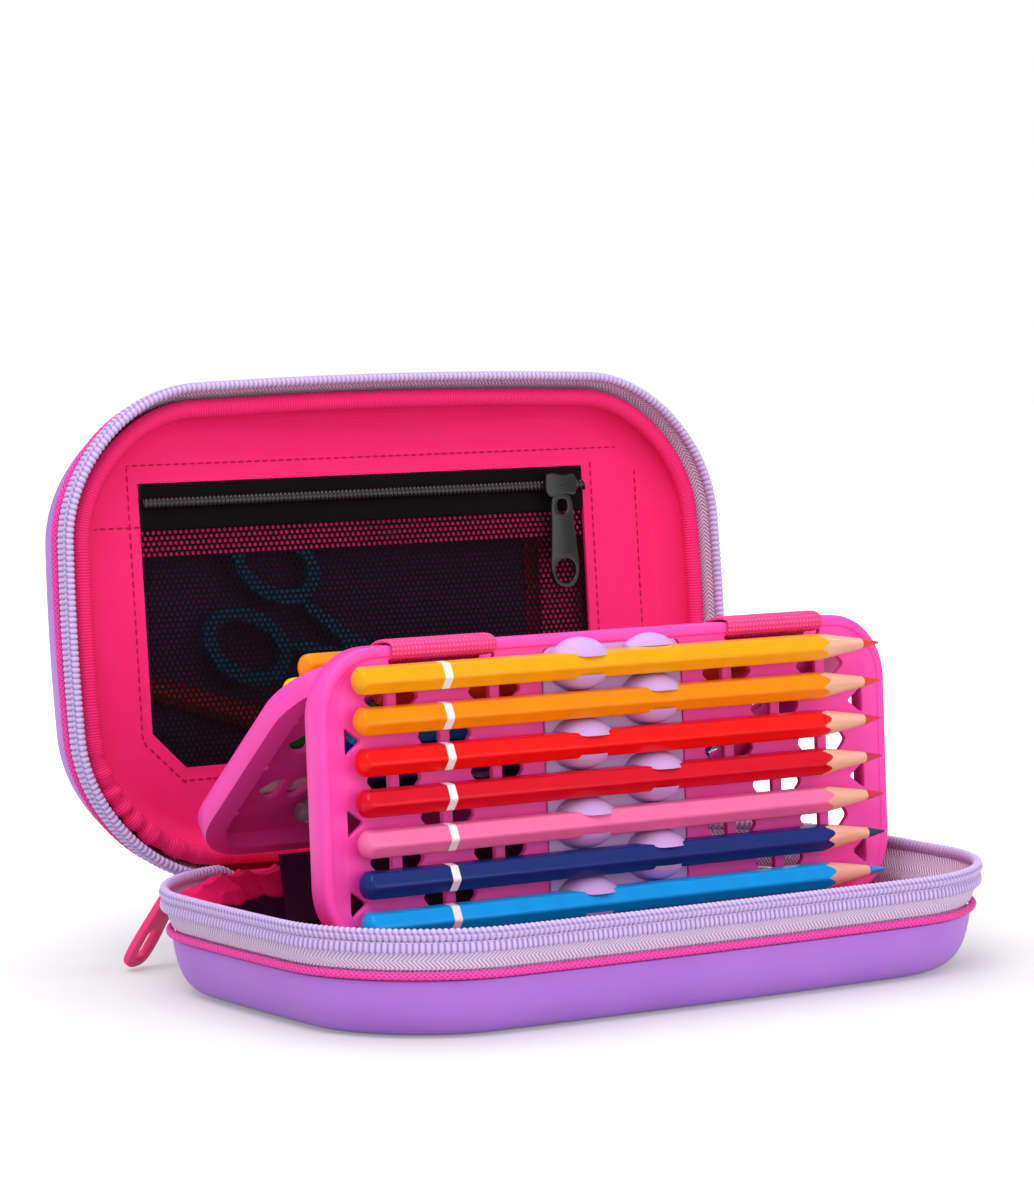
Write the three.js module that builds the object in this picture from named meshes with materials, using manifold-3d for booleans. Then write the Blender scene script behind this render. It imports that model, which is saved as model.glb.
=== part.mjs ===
// A filled pencil case: a zipped clamshell with a mesh pocket in its lid and two pencil trays that
// stand as a tent when it is open. Millimetres, +Z up, +X along the case, -Y towards its front.
// The origin is the middle of the flat underside. The case stands open, its lid leaning back.
import * as THREE from "three";
import { mergeVertices } from "three/addons/utils/BufferGeometryUtils.js";
import Module from "manifold-3d";

const wasm = await Module();
wasm.setup();

// Driving sizes of the case
const caseHalfLength = 107;
const caseHalfDepth = 67;
const cornerRadius = 38;
const sideBow = 3;
const crestHeight = 29;
const crestGap = 0.6;
const clearance = 0.3;
const overrun = 1;
const skim = 0.1;
const cutDepth = 40;
const cornerSteps = 7;
const longSideSteps = 4;
const shortSideSteps = 2;

// Opening angles as they stand in the photograph
const lidOpenAngle = THREE.MathUtils.degToRad(95);
const frontTrayLean = THREE.MathUtils.degToRad(3);
const rearTraySlope = THREE.MathUtils.degToRad(41);
const flapRise = THREE.MathUtils.degToRad(77.5);

// Hinge lines, each along X: the lid's fold, the tether's seam and the tent's apex
const lidHingeY = 68;
const lidHingeZ = 24;
const tetherSeamY = 52;
const tetherSeamZ = 13;
const flapReach = 20.1;

// Trays and what they carry
const trayEndGap = 14.5;
const trayLength = 2 * (caseHalfLength - trayEndGap);
const trayShift = 3.5;
const trayHeight = 79.5;
const trayCornerRadius = 18;
const rimWidth = 7;
const topRimWidth = 3.8;
const rimInnerDepth = 4.6;
const panelThickness = 1.8;
const rimProud = 0.5;
const frontTrayLead = 8;
const rearTrayLag = 2;
const pencilCount = 7;
const firstPencilDrop = 8.25;
const pencilPitch = (trayHeight - 2 * firstPencilDrop) / (pencilCount - 1);
const pencilEndRoom = 13.5;
const pencilLength = trayLength - pencilEndRoom;
const pencilAcrossFlats = 6.9;
const pencilAxisLift = 4.45;
const pencilStartMargin = 8.5;
const pencilStart = pencilStartMargin - trayLength / 2;
const penEndRoom = 53;
const penLength = trayLength - penEndRoom;
const penRadius = 3.6;
const penStart = -65;
const penPitchShare = 0.112;
const penPitch = penPitchShare * trayHeight;
const firstPenDrop = 8.25;
const trayMeetingGap = 0.25;

// Colours of the moulded, woven and lacquered pieces
const colour = {
  violet: "#b277d8", pipingPink: "#ff3d9c", lilac: "#d6bdea", liningPink: "#f2246c",
  trayPink: "#ff2f92", webbingPink: "#f93f95", clipLilac: "#c6a9e2", black: "#17151a", meshBlack: "#1d1420",
  tagPink: "#f0408f", scissorTeal: "#1d5a86", markerRed: "#b8182c",
};

function plastic(hex, roughness = 0.45) {
  return new THREE.MeshStandardMaterial({ color: hex, roughness, metalness: 0 });
}

function cloth(hex) {
  return new THREE.MeshStandardMaterial({ color: hex, roughness: 0.85, metalness: 0 });
}

const pencilCase = new THREE.Group();

function addMesh(parent, name, geometry, material) {
  const mesh = new THREE.Mesh(geometry, material);
  mesh.name = name;
  parent.add(mesh);
  return mesh;
}

// Joining and cutting of closed meshes
const weldTolerance = 1e-4;

function toSolid(geometry) {
  const bare = geometry.clone();
  bare.deleteAttribute("normal");
  bare.deleteAttribute("uv");
  const merged = mergeVertices(bare, weldTolerance);
  const vertProperties = new Float32Array(merged.attributes.position.array);
  const triVerts = new Uint32Array(merged.index.array);
  return new wasm.Manifold(new wasm.Mesh({ numProp: 3, vertProperties, triVerts }));
}

function toGeometry(solid) {
  const mesh = solid.getMesh();
  const geometry = new THREE.BufferGeometry();
  geometry.setAttribute("position", new THREE.BufferAttribute(mesh.vertProperties.slice(), 3));
  geometry.setIndex(new THREE.BufferAttribute(mesh.triVerts.slice(), 1));
  return geometry;
}

function cutFrom(body, tools) {
  return tools.reduce((whole, tool) => whole.subtract(toSolid(tool)), toSolid(body));
}

function moved(geometry, x, y, z) {
  geometry.translate(x, y, z);
  return geometry;
}

// The case's plan: a rounded rectangle whose sides bow out a little. A ring of plan points starts
// where the back left corner begins, runs round the front, and ends along the back.
function planRing(inset) {
  const halfX = caseHalfLength - sideBow - inset;
  const halfY = caseHalfDepth - sideBow - inset;
  const radius = cornerRadius - inset;
  const centreX = halfX - radius;
  const centreY = halfY - radius;
  const corners = [[-1, 1, 90], [-1, -1, 180], [1, -1, 270], [1, 1, 0]];
  const steps = [shortSideSteps, longSideSteps, shortSideSteps, longSideSteps];
  const points = [];
  corners.forEach(([signX, signY, startDegrees], side) => {
    for (let step = 0; step <= cornerSteps; step += 1) {
      const angle = THREE.MathUtils.degToRad(startDegrees + (90 * step) / cornerSteps);
      points.push([signX * centreX + radius * Math.cos(angle), signY * centreY + radius * Math.sin(angle)]);
    }
    const [nextX, nextY, nextDegrees] = corners[(side + 1) % corners.length];
    const nextAngle = THREE.MathUtils.degToRad(nextDegrees);
    const from = points[points.length - 1];
    const toX = nextX * centreX + radius * Math.cos(nextAngle);
    const toY = nextY * centreY + radius * Math.sin(nextAngle);
    for (let step = 1; step < steps[side]; step += 1) {
      const share = step / steps[side];
      points.push([from[0] + (toX - from[0]) * share, from[1] + (toY - from[1]) * share]);
    }
  });
  return points.map(([x, y]) => {
    const bowX = sideBow * (1 - (y / halfY) ** 2) * Math.sign(x) * Math.abs(x / halfX) ** 3;
    const bowY = sideBow * (1 - (x / halfX) ** 2) * Math.sign(y) * Math.abs(y / halfY) ** 3;
    return [x + bowX, y + bowY];
  });
}

const zipPointCount = 4 * (cornerSteps + 1) + 2 * (shortSideSteps - 1) + longSideSteps - 1;

function indexedGeometry(vertices, triangles) {
  const geometry = new THREE.BufferGeometry();
  geometry.setAttribute("position", new THREE.Float32BufferAttribute(vertices.flat(), 3));
  geometry.setIndex(triangles.flat());
  return geometry;
}

// An open dish over the plan: the profile runs from the outer floor's edge, up and over the rim, to
// the inner floor's edge, as pairs of inset and height, and both floors are closed at their middle.
function dish(profile) {
  const rings = profile.map(([inset, height]) => planRing(inset).map(([x, y]) => [x, y, height]));
  const count = rings[0].length;
  const vertices = rings.flat();
  const triangles = [];
  for (let ring = 0; ring < rings.length - 1; ring += 1) {
    for (let i = 0; i < count; i += 1) {
      const next = (i + 1) % count;
      const [low, high] = [ring * count, (ring + 1) * count];
      triangles.push([low + i, low + next, high + next], [low + i, high + next, high + i]);
    }
  }
  const firstMiddle = vertices.push([0, 0, profile[0][1]]) - 1;
  const lastMiddle = vertices.push([0, 0, profile[profile.length - 1][1]]) - 1;
  const lastRing = (rings.length - 1) * count;
  for (let i = 0; i < count; i += 1) {
    const next = (i + 1) % count;
    triangles.push([firstMiddle, next, i], [lastMiddle, lastRing + i, lastRing + next]);
  }
  return indexedGeometry(vertices, triangles);
}

// A band along the plan with a closed section of inset and height pairs. A closed band goes all the
// way round. Otherwise it follows the zip: round the front, from one back corner to the other.
function band(section, closed) {
  const rings = section.map(([inset]) => planRing(inset));
  const stations = closed ? rings[0].length : zipPointCount;
  const size = section.length;
  const vertices = [];
  for (let station = 0; station < stations; station += 1) {
    section.forEach(([, height], k) => vertices.push([rings[k][station][0], rings[k][station][1], height]));
  }
  const triangles = [];
  const spans = closed ? stations : stations - 1;
  for (let station = 0; station < spans; station += 1) {
    const here = station * size;
    const there = ((station + 1) % stations) * size;
    for (let k = 0; k < size; k += 1) {
      const next = (k + 1) % size;
      triangles.push([here + k, there + next, there + k], [here + k, here + next, there + next]);
    }
  }
  if (!closed) {
    const last = (stations - 1) * size;
    for (let k = 1; k < size - 1; k += 1) {
      triangles.push([0, k + 1, k], [last, last + k, last + k + 1]);
    }
  }
  return indexedGeometry(vertices, triangles);
}

function roundSection(inset, height, radius, sides) {
  return Array.from({ length: sides }, (_, k) => {
    const angle = (2 * Math.PI * k) / sides;
    return [inset + radius * Math.cos(angle), height + radius * Math.sin(angle)];
  });
}

// Geometry for the lid is the base's, turned over about the plane where the two zip rows meet
const meetingHeight = crestHeight + crestGap / 2;

function turnedOver(geometry) {
  const flipped = geometry.clone();
  flipped.scale(1, 1, -1);
  flipped.translate(0, 0, 2 * meetingHeight);
  const index = flipped.index.array;
  for (let i = 0; i < index.length; i += 3) {
    [index[i + 1], index[i + 2]] = [index[i + 2], index[i + 1]];
  }
  return flipped;
}

// Sections of the case's wall, as pairs of inset and height
const shellEdgeHeight = 15.5;
const shellWall = 2.3;
const shellFloor = 1.5;
const shellProfile = [
  [12, 0], [7, 0.9], [3, 3.8], [1, 8.5], [0, shellEdgeHeight],
  [shellWall, shellEdgeHeight], [3.3, 9], [5.2, 5.3], [8.6, 2.6], [12.5, shellFloor],
];

const liningThickness = 0.8;
const liningTop = shellEdgeHeight - clearance;
const liningFloor = 2.3;
const liningInset = 2.7;
const liningProfile = [
  [12.8, shellFloor + clearance], [9.1, 3], [5.8, 5.7], [3.8, 9.2], [liningInset, liningTop],
  [liningInset + liningThickness, liningTop], [4.7, 9.4], [6.7, 6.3], [9.8, 3.5], [13, liningFloor],
];

const pipingRadius = 1.1;
const pipingInset = -0.2;
const pipingHeight = shellEdgeHeight + clearance + pipingRadius;
const pipingTop = pipingHeight + pipingRadius;

const teethRadius = 1.45;
const teethInset = -1.6;
const teethHeight = crestHeight - teethRadius;
const tapeTop = teethHeight - teethRadius - clearance;
const tapeBottom = pipingTop + clearance;
const tapeFoot = shellEdgeHeight + clearance;
const tapeSection = [
  [0.6, 22.4], [-1, tapeTop], [-2.3, tapeTop], [0.2, tapeBottom],
  [1.3, tapeBottom], [1.3, tapeFoot], [2.4, tapeFoot], [2.2, 19],
];

// Spine: a cloth strip up the back, in two halves that meet at the lid's fold
const spineEndGap = 1.5;
const spineHalfLength = caseHalfLength - sideBow - cornerRadius - spineEndGap;
const spineThickness = 1.2;
const spineOuterY = 67.8;
const spineFoldGap = 0.25;

function spineHalf(bottom, top) {
  const strip = new THREE.BoxGeometry(2 * spineHalfLength, spineThickness, top - bottom);
  return moved(strip, 0, spineOuterY - spineThickness / 2, (bottom + top) / 2);
}

// Base of the case
const shellMaterial = plastic(colour.violet, 0.5);
const liningMaterial = cloth(colour.liningPink);
const tapeMaterial = cloth(colour.lilac);
const teethMaterial = plastic(colour.lilac, 0.4);

addMesh(pencilCase, "base_shell", dish(shellProfile), shellMaterial);
addMesh(pencilCase, "base_lining", dish(liningProfile), liningMaterial);
const piping = band(roundSection(pipingInset, pipingHeight, pipingRadius, 6), true);
addMesh(pencilCase, "base_piping", piping, cloth(colour.pipingPink));
const zipTape = band(tapeSection, false);
addMesh(pencilCase, "base_zip_tape", zipTape, tapeMaterial);
const zipTeeth = band(roundSection(teethInset, teethHeight, teethRadius, 6), false);
addMesh(pencilCase, "base_zip_teeth", zipTeeth, teethMaterial);
const baseSpine = spineHalf(tapeBottom, lidHingeZ - spineFoldGap);
addMesh(pencilCase, "base_spine", baseSpine, liningMaterial);

// The zip's slider sits outside the teeth at the back left corner, and its pull leans on the table
const sliderStep = 2;
const sliderLength = 9;
const sliderHeight = 6.5;
const sliderThickness = 1.8;
const sliderOutset = 3.4;
const pullLength = 29;
const pullWidth = 11;
const pullThickness = 2.4;
const pullCornerRadius = 5;
const pullSlotLength = 11;
const pullSlotDrop = 5.8;
const pullSlotWidth = 4.6;
const pullLean = THREE.MathUtils.degToRad(33);
const pullPivotDrop = 3.4;

const sliderPlan = planRing(0)[sliderStep];
const sliderGroup = new THREE.Group();
sliderGroup.position.set(sliderPlan[0], sliderPlan[1], 0);
sliderGroup.rotation.z = ((Math.PI / 2) * sliderStep) / cornerSteps;
pencilCase.add(sliderGroup);

const sliderBody = new THREE.BoxGeometry(sliderLength, sliderThickness, sliderHeight);
const sliderMiddle = sliderOutset + sliderThickness / 2;
const sliderTop = crestHeight - clearance;
moved(sliderBody, 0, sliderMiddle, sliderTop - sliderHeight / 2);
addMesh(sliderGroup, "zip_slider", sliderBody, plastic(colour.lilac, 0.35));

function roundedRectangle(width, height, radius) {
  const shape = new THREE.Shape();
  const [x, y] = [width / 2, height / 2];
  shape.moveTo(-x + radius, -y);
  shape.lineTo(x - radius, -y);
  shape.absarc(x - radius, -y + radius, radius, -Math.PI / 2, 0, false);
  shape.lineTo(x, y - radius);
  shape.absarc(x - radius, y - radius, radius, 0, Math.PI / 2, false);
  shape.lineTo(-x + radius, y);
  shape.absarc(-x + radius, y - radius, radius, Math.PI / 2, Math.PI, false);
  shape.lineTo(-x, -y + radius);
  shape.absarc(-x + radius, -y + radius, radius, Math.PI, 1.5 * Math.PI, false);
  return shape;
}

function slab(shape, depth, curveSegments = 5) {
  return new THREE.ExtrudeGeometry(shape, { depth, bevelEnabled: false, curveSegments });
}

const pullShape = roundedRectangle(pullWidth, pullLength, pullCornerRadius);
const pullSlot = roundedRectangle(pullSlotWidth, pullSlotLength, pullSlotWidth / 2 - skim);
const pullPlate = slab(pullShape, pullThickness);
const slotTool = moved(slab(pullSlot, cutDepth), 0, -pullSlotDrop, -cutDepth / 2);
const pullSolid = toGeometry(cutFrom(pullPlate, [slotTool]));
moved(pullSolid, 0, -pullLength / 2, -pullThickness / 2);
const pullMesh = addMesh(sliderGroup, "zip_pull", pullSolid, plastic(colour.tagPink, 0.4));
const pullOutset = sliderOutset + sliderThickness + clearance + pullThickness / 2;
pullMesh.position.set(0, pullOutset, sliderTop - pullPivotDrop);
pullMesh.rotation.x = Math.PI / 2 + pullLean;

// The tether: a low cloth gusset sewn to the floor, and a flap from its seam to the rear tray's foot
const tetherLength = 120;
const tetherThickness = 0.8;
const gussetSeamGap = 0.45;
const flapSeamGap = 0.3;
const flapFootGap = 0.7;

const gussetHeight = tetherSeamZ - gussetSeamGap - liningFloor - clearance;
const gusset = new THREE.BoxGeometry(tetherLength, tetherThickness, gussetHeight);
moved(gusset, 0, tetherSeamY, liningFloor + clearance + gussetHeight / 2);
addMesh(pencilCase, "tether_gusset", gusset, liningMaterial);

const flapGroup = new THREE.Group();
flapGroup.position.set(0, tetherSeamY, tetherSeamZ);
flapGroup.rotation.x = flapRise;
pencilCase.add(flapGroup);
const flapLength = flapReach - flapSeamGap - flapFootGap;
const flap = new THREE.BoxGeometry(tetherLength, flapLength, tetherThickness);
addMesh(flapGroup, "tether_flap", moved(flap, 0, flapSeamGap + flapLength / 2, 0), liningMaterial);

// The tent: the rear tray slopes up from the flap, and the front tray hangs from its apex
const footY = tetherSeamY + flapReach * Math.cos(flapRise);
const footZ = tetherSeamZ + flapReach * Math.sin(flapRise);
const rearReach = rearTrayLag + trayHeight;
const apexY = footY - rearReach * Math.cos(rearTraySlope);
const apexZ = footZ + rearReach * Math.sin(rearTraySlope);

function trayGroup(parent, turn) {
  const hinged = new THREE.Group();
  hinged.rotation.x = turn;
  parent.add(hinged);
  const tray = new THREE.Group();
  tray.position.z = trayMeetingGap;
  hinged.add(tray);
  return tray;
}

const apex = new THREE.Group();
apex.position.set(trayShift, apexY, apexZ);
pencilCase.add(apex);
const rearTurn = new THREE.Group();
rearTurn.rotation.z = Math.PI;
apex.add(rearTurn);
const frontTray = trayGroup(apex, Math.PI / 2 - frontTrayLean);
const rearTray = trayGroup(rearTurn, rearTraySlope);

// Tray frame: x along the tray, y up from its apex line, z out from the face where the trays meet
const panelInner = rimInnerDepth;
const panelOuter = rimInnerDepth + panelThickness;
const rimOuter = panelOuter + rimProud;
const loopSpacing = 54;
const loopWidth = 32;
const loopThickness = 1.1;
const slotTop = 2.5;
const slotHeight = 2.2;
const stripHalfWidth = 22.5;
const stripTop = 2.9;
const stripFootGap = 2.7;
const stripBottom = trayHeight - stripFootGap;

// Openings in the panel: flat hexagons, split by an upright bar, in staggered rows
const openingRows = 6;
const openingHalfHeight = 5.8;
const topOpeningHalfHeight = 4.1;
const openingShoulderShare = 0.55;
const openingWidthShare = 0.625;
const openingBar = 3;
const fieldStart = 38;
const fieldEndGap = 22.5;
const openingPitch = (trayLength / 2 - fieldStart - fieldEndGap) / 2;
const openingHalfWidth = openingWidthShare * openingPitch;
const rimOpeningWidth = 6;

function halfOpening(side, halfHeight) {
  const shape = new THREE.Shape();
  const inner = (side * openingBar) / 2;
  const shoulder = side * openingHalfWidth * openingShoulderShare;
  shape.moveTo(inner, -halfHeight);
  shape.lineTo(shoulder, -halfHeight);
  shape.lineTo(side * openingHalfWidth, 0);
  shape.lineTo(shoulder, halfHeight);
  shape.lineTo(inner, halfHeight);
  return shape;
}

function rimOpening(side, halfHeight) {
  const shape = new THREE.Shape();
  shape.moveTo(0, -halfHeight);
  shape.lineTo(0, halfHeight);
  shape.lineTo(-side * rimOpeningWidth, 0);
  return shape;
}

function openingTools(top) {
  const tools = [];
  const place = (shape, x, y) => tools.push(moved(slab(shape, cutDepth), x, y, -cutDepth / 2));
  for (let row = 0; row < openingRows; row += 1) {
    const y = top - firstPencilDrop - pencilPitch * (row + 0.5);
    const halfHeight = row === 0 ? topOpeningHalfHeight : openingHalfHeight;
    for (const side of [-1, 1]) {
      const centres = row % 2 ? [fieldStart + openingPitch] : [fieldStart, fieldStart + 2 * openingPitch];
      for (const centre of centres) {
        place(halfOpening(-1, halfHeight), side * centre, y);
        place(halfOpening(1, halfHeight), side * centre, y);
      }
      if (row % 2) {
        place(rimOpening(side, halfHeight), side * (trayLength / 2 - rimWidth - overrun), y);
      }
    }
  }
  return tools;
}

function trayBody(top) {
  const middle = top - trayHeight / 2;
  const outline = roundedRectangle(trayLength, trayHeight, trayCornerRadius);
  const hollow = roundedRectangle(
    trayLength - 2 * rimWidth, trayHeight - 2 * topRimWidth, trayCornerRadius - rimWidth,
  );
  const blank = moved(slab(outline, rimOuter), 0, middle, 0);
  const innerHollow = moved(slab(hollow, panelInner + overrun), 0, middle, -overrun);
  const outerHollow = moved(slab(hollow, cutDepth), 0, middle, panelOuter);
  const windowWidth = 2 * (stripHalfWidth + clearance);
  const windowHeight = stripBottom - stripTop + 2 * clearance;
  const stripWindow = new THREE.BoxGeometry(windowWidth, windowHeight, cutDepth);
  moved(stripWindow, 0, top - (stripTop + stripBottom) / 2, panelOuter);
  const loopSlots = [-1, 1].map((side) => {
    const slot = new THREE.BoxGeometry(loopWidth + 2 * clearance, slotHeight, cutDepth);
    return moved(slot, side * loopSpacing, top - slotTop - slotHeight / 2, 0);
  });
  const tools = [innerHollow, outerHollow, stripWindow, ...loopSlots, ...openingTools(top)];
  return toGeometry(cutFrom(blank, tools));
}

const trayMaterial = plastic(colour.trayPink, 0.4);
const frontTop = frontTrayLead;
const rearTop = -rearTrayLag;
addMesh(frontTray, "front_tray", trayBody(frontTop), trayMaterial);
addMesh(rearTray, "rear_tray", trayBody(rearTop), trayMaterial);

// Clip strips: a lilac plate set in each tray's window, with staggered cups that grip the pencils
const stripCornerRadius = 4;
const cupColumn = 11.5;
const cupHalfWidth = 9.8;
const cupHalfHeight = 7.2;
const cupReach = 8;
const cupMouth = 6.2;
const penCupHalfHeight = 5.4;
const penCupReach = 6.4;
const penAxisDepth = panelInner - penRadius - clearance;
const pencilBarrelRadius = pencilAcrossFlats / Math.sqrt(3);
const pencilAxis = panelOuter + pencilAxisLift;
const channelSides = 10;

function pencilDrop(row) {
  return firstPencilDrop + pencilPitch * row;
}

function penDrop(row) {
  return firstPenDrop + penPitch * row;
}

function gripCylinder(radius, length) {
  const cylinder = new THREE.CylinderGeometry(radius, radius, length, channelSides);
  cylinder.rotateZ(Math.PI / 2);
  return cylinder;
}

// A row of cups: half ellipsoids on one face of the plate, which a negative reach puts inside
function cups(heights, face, halfHeight, reach) {
  return heights.map((height, row) => {
    const cup = new THREE.SphereGeometry(1, 10, 6);
    cup.scale(cupHalfWidth, halfHeight, Math.abs(reach));
    const half = new THREE.BoxGeometry(cutDepth, cutDepth, cutDepth);
    moved(half, 0, 0, Math.sign(reach) * (cutDepth / 2 - panelThickness / 2));
    const column = row % 2 ? cupColumn : -cupColumn;
    return toSolid(cup).intersect(toSolid(half)).translate([column, height, face]);
  });
}

// What a pencil or pen cuts from its cups: a round channel and a mouth that opens away from the plate
function gripTools(heights, axis, radius, side) {
  return heights.flatMap((height) => {
    const mouth = new THREE.BoxGeometry(cutDepth + cutDepth, cupMouth, cutDepth);
    const channel = gripCylinder(radius + clearance, cutDepth + cutDepth);
    return [moved(channel, 0, height, axis), moved(mouth, 0, height, axis + (side * cutDepth) / 2)];
  });
}

function clipStrip(top, withPens) {
  const middle = top - (stripTop + stripBottom) / 2;
  const plateShape = roundedRectangle(2 * stripHalfWidth, stripBottom - stripTop, stripCornerRadius);
  const pencilHeights = Array.from({ length: pencilCount }, (_, row) => top - pencilDrop(row));
  let strip = toSolid(moved(slab(plateShape, panelThickness), 0, middle, panelInner));
  cups(pencilHeights, panelOuter, cupHalfHeight, cupReach).forEach((cup) => {
    strip = strip.add(cup);
  });
  gripTools(pencilHeights, pencilAxis, pencilBarrelRadius, 1).forEach((tool) => {
    strip = strip.subtract(toSolid(tool));
  });
  if (withPens) {
    const penHeights = Array.from({ length: pencilCount }, (_, row) => top - penDrop(row));
    cups(penHeights, panelInner, penCupHalfHeight, -penCupReach).forEach((cup) => {
      strip = strip.add(cup);
    });
    gripTools(penHeights, penAxisDepth, penRadius, -1).forEach((tool) => {
      strip = strip.subtract(toSolid(tool));
    });
  }
  const trim = new THREE.BoxGeometry(2 * stripHalfWidth, stripBottom - stripTop, cutDepth);
  strip = strip.intersect(toSolid(moved(trim, 0, middle, panelOuter)));
  return toGeometry(strip);
}

const clipMaterial = plastic(colour.clipLilac, 0.35);
addMesh(frontTray, "front_clip_strip", clipStrip(frontTop, false), clipMaterial);
addMesh(rearTray, "rear_clip_strip", clipStrip(rearTop, true), clipMaterial);

// Pencils: a hexagonal barrel, domed at its dipped end and turned to a cone, with a coloured core
const coneLength = 19;
const coreLength = 6.5;
const coreRadius = 1.5;
const domeLength = 3.4;
const domeShares = [[0, 0], [0.55, 0.1], [0.88, 0.45], [1, 1]];
const hexTurn = THREE.MathUtils.degToRad(38);
const turnedSides = 9;

function lathe(points, segments) {
  return new THREE.LatheGeometry(points.map(([radius, along]) => new THREE.Vector2(radius, along)), segments);
}

// The barrel is a hexagonal prism kept inside a turned envelope, whose cone ends at the given radius
function hexagonalPencil(length, endRadius) {
  const radius = pencilBarrelRadius + clearance;
  const hexagon = new THREE.CylinderGeometry(pencilBarrelRadius, pencilBarrelRadius, length, 6);
  hexagon.rotateY(hexTurn);
  moved(hexagon, 0, length / 2, 0);
  const dome = domeShares.map(([radiusShare, alongShare]) => [radius * radiusShare, domeLength * alongShare]);
  const coneStart = [radius, pencilLength - coreLength - coneLength];
  const end = length - skim;
  const tip = endRadius ? [[endRadius, end], [0, end]] : [[0, end]];
  const envelope = lathe([...dome, coneStart, ...tip], turnedSides);
  return toGeometry(toSolid(hexagon).intersect(toSolid(envelope)));
}

function pencilCore() {
  const core = lathe([[0, 0], [coreRadius, 0], [0, coreLength]], turnedSides);
  core.rotateZ(-Math.PI / 2);
  return core;
}

const frontPencilColours = ["#ffa51a", "#ff8a1f", "#ee1c24", "#cf1730", "#f7869f", "#1f3b7c", "#1e9be6"];
const frontCoreColours = ["#f0421c", "#f0441f", "#e8161f", "#cc1630", "#d81745", "#1c3266", "#2f9fe6"];
const rearPencilColours = ["#ff8c1a", "#ffd21f", "#a5c63a", "#2f8f4e", "#7a4a2c", "#f1ece6", "#191719"];
const penColours = ["#ee4a2a", "#4c9a3b", "#3aa9ea", "#2f49c8", "#4c3aa8", "#17151b", "#9b8f9c"];

const barrelGeometry = hexagonalPencil(pencilLength - coreLength, coreRadius);
barrelGeometry.rotateZ(-Math.PI / 2);
const coreGeometry = pencilCore();
const coreStart = pencilStart + pencilLength - coreLength + clearance / 2;
for (let row = 0; row < pencilCount; row += 1) {
  const name = `pencil_${row + 1}`;
  const height = frontTop - pencilDrop(row);
  const barrel = addMesh(frontTray, `${name}_barrel`, barrelGeometry, plastic(frontPencilColours[row], 0.3));
  barrel.position.set(pencilStart, height, pencilAxis);
  const core = addMesh(frontTray, `${name}_core`, coreGeometry, plastic(frontCoreColours[row], 0.6));
  core.position.set(coreStart, height, pencilAxis);
}

// The rear tray's own pencils are whole, with the barrel, cone and core in one
const wholePencilGeometry = hexagonalPencil(pencilLength, 0);
wholePencilGeometry.rotateZ(Math.PI / 2);
for (let row = 0; row < pencilCount; row += 1) {
  const name = `rear_pencil_${row + 1}`;
  const pencil = addMesh(rearTray, name, wholePencilGeometry, plastic(rearPencilColours[row], 0.3));
  pencil.position.set(-pencilStart, rearTop - pencilDrop(row), pencilAxis);
}

// Fibre pens: a stepped end plug, a barrel and a cap, clipped inside the rear tray
const plugRadius = 2.6;
const plugLength = 2.6;
const capLength = 38;
const capStep = 0.35;
const capEndRadius = 2.7;

function fibrePen() {
  const barrelRadius = penRadius - capStep;
  const pen = lathe([
    [0, 0], [plugRadius, 0], [plugRadius, plugLength], [barrelRadius, plugLength + capStep],
    [barrelRadius, penLength - capLength], [penRadius, penLength - capLength],
    [penRadius, penLength - 2 * plugLength], [capEndRadius, penLength], [0, penLength],
  ], turnedSides);
  pen.rotateZ(Math.PI / 2);
  return pen;
}

const penGeometry = fibrePen();
for (let row = 0; row < pencilCount; row += 1) {
  const pen = addMesh(rearTray, `fibre_pen_${row + 1}`, penGeometry, plastic(penColours[row], 0.35));
  pen.position.set(-penStart, rearTop - penDrop(row), penAxisDepth);
}

// Webbing loops: each is a flat band through the slots of both trays, round both top rims
const loopSlack = 0.45;
const sharpestMiter = 0.5;
const loopDrop = slotTop + slotHeight / 2;

function fromFront(up, out) {
  const turn = Math.PI / 2 - frontTrayLean;
  const y = frontTop + up;
  const back = y * Math.cos(turn) - out * Math.sin(turn);
  return new THREE.Vector2(back, y * Math.sin(turn) + out * Math.cos(turn));
}

function fromRear(up, out) {
  const y = rearTop + up;
  return new THREE.Vector2(
    -(y * Math.cos(rearTraySlope) - out * Math.sin(rearTraySlope)),
    y * Math.sin(rearTraySlope) + out * Math.cos(rearTraySlope),
  );
}

function offsetPath(points, distance) {
  return points.map((point, i) => {
    const before = points[(i + points.length - 1) % points.length];
    const after = points[(i + 1) % points.length];
    const inward = point.clone().sub(before).normalize();
    const outward = after.clone().sub(point).normalize();
    const normalIn = new THREE.Vector2(inward.y, -inward.x);
    const normalOut = new THREE.Vector2(outward.y, -outward.x);
    const miter = normalIn.clone().add(normalOut).normalize();
    return point.clone().addScaledVector(miter, distance / Math.max(miter.dot(normalIn), sharpestMiter));
  });
}

function webbingLoop() {
  const over = loopSlack + loopThickness / 2;
  const out = trayMeetingGap + rimOuter + over;
  const path = [
    fromFront(-loopDrop, -over), fromFront(-loopDrop, out), fromFront(over, out), fromFront(over, 0),
    fromRear(over + overrun, out), fromRear(-loopDrop, out), fromRear(-loopDrop, -over),
    fromRear(clearance, -over),
  ].reverse();
  const outline = new THREE.Shape(offsetPath(path, loopThickness / 2));
  outline.holes.push(new THREE.Path(offsetPath(path, -loopThickness / 2)));
  const loop = new THREE.ExtrudeGeometry(outline, { depth: loopWidth, bevelEnabled: false });
  loop.rotateX(Math.PI / 2);
  loop.rotateZ(Math.PI / 2);
  return moved(loop, -loopWidth / 2, 0, 0);
}

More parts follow.
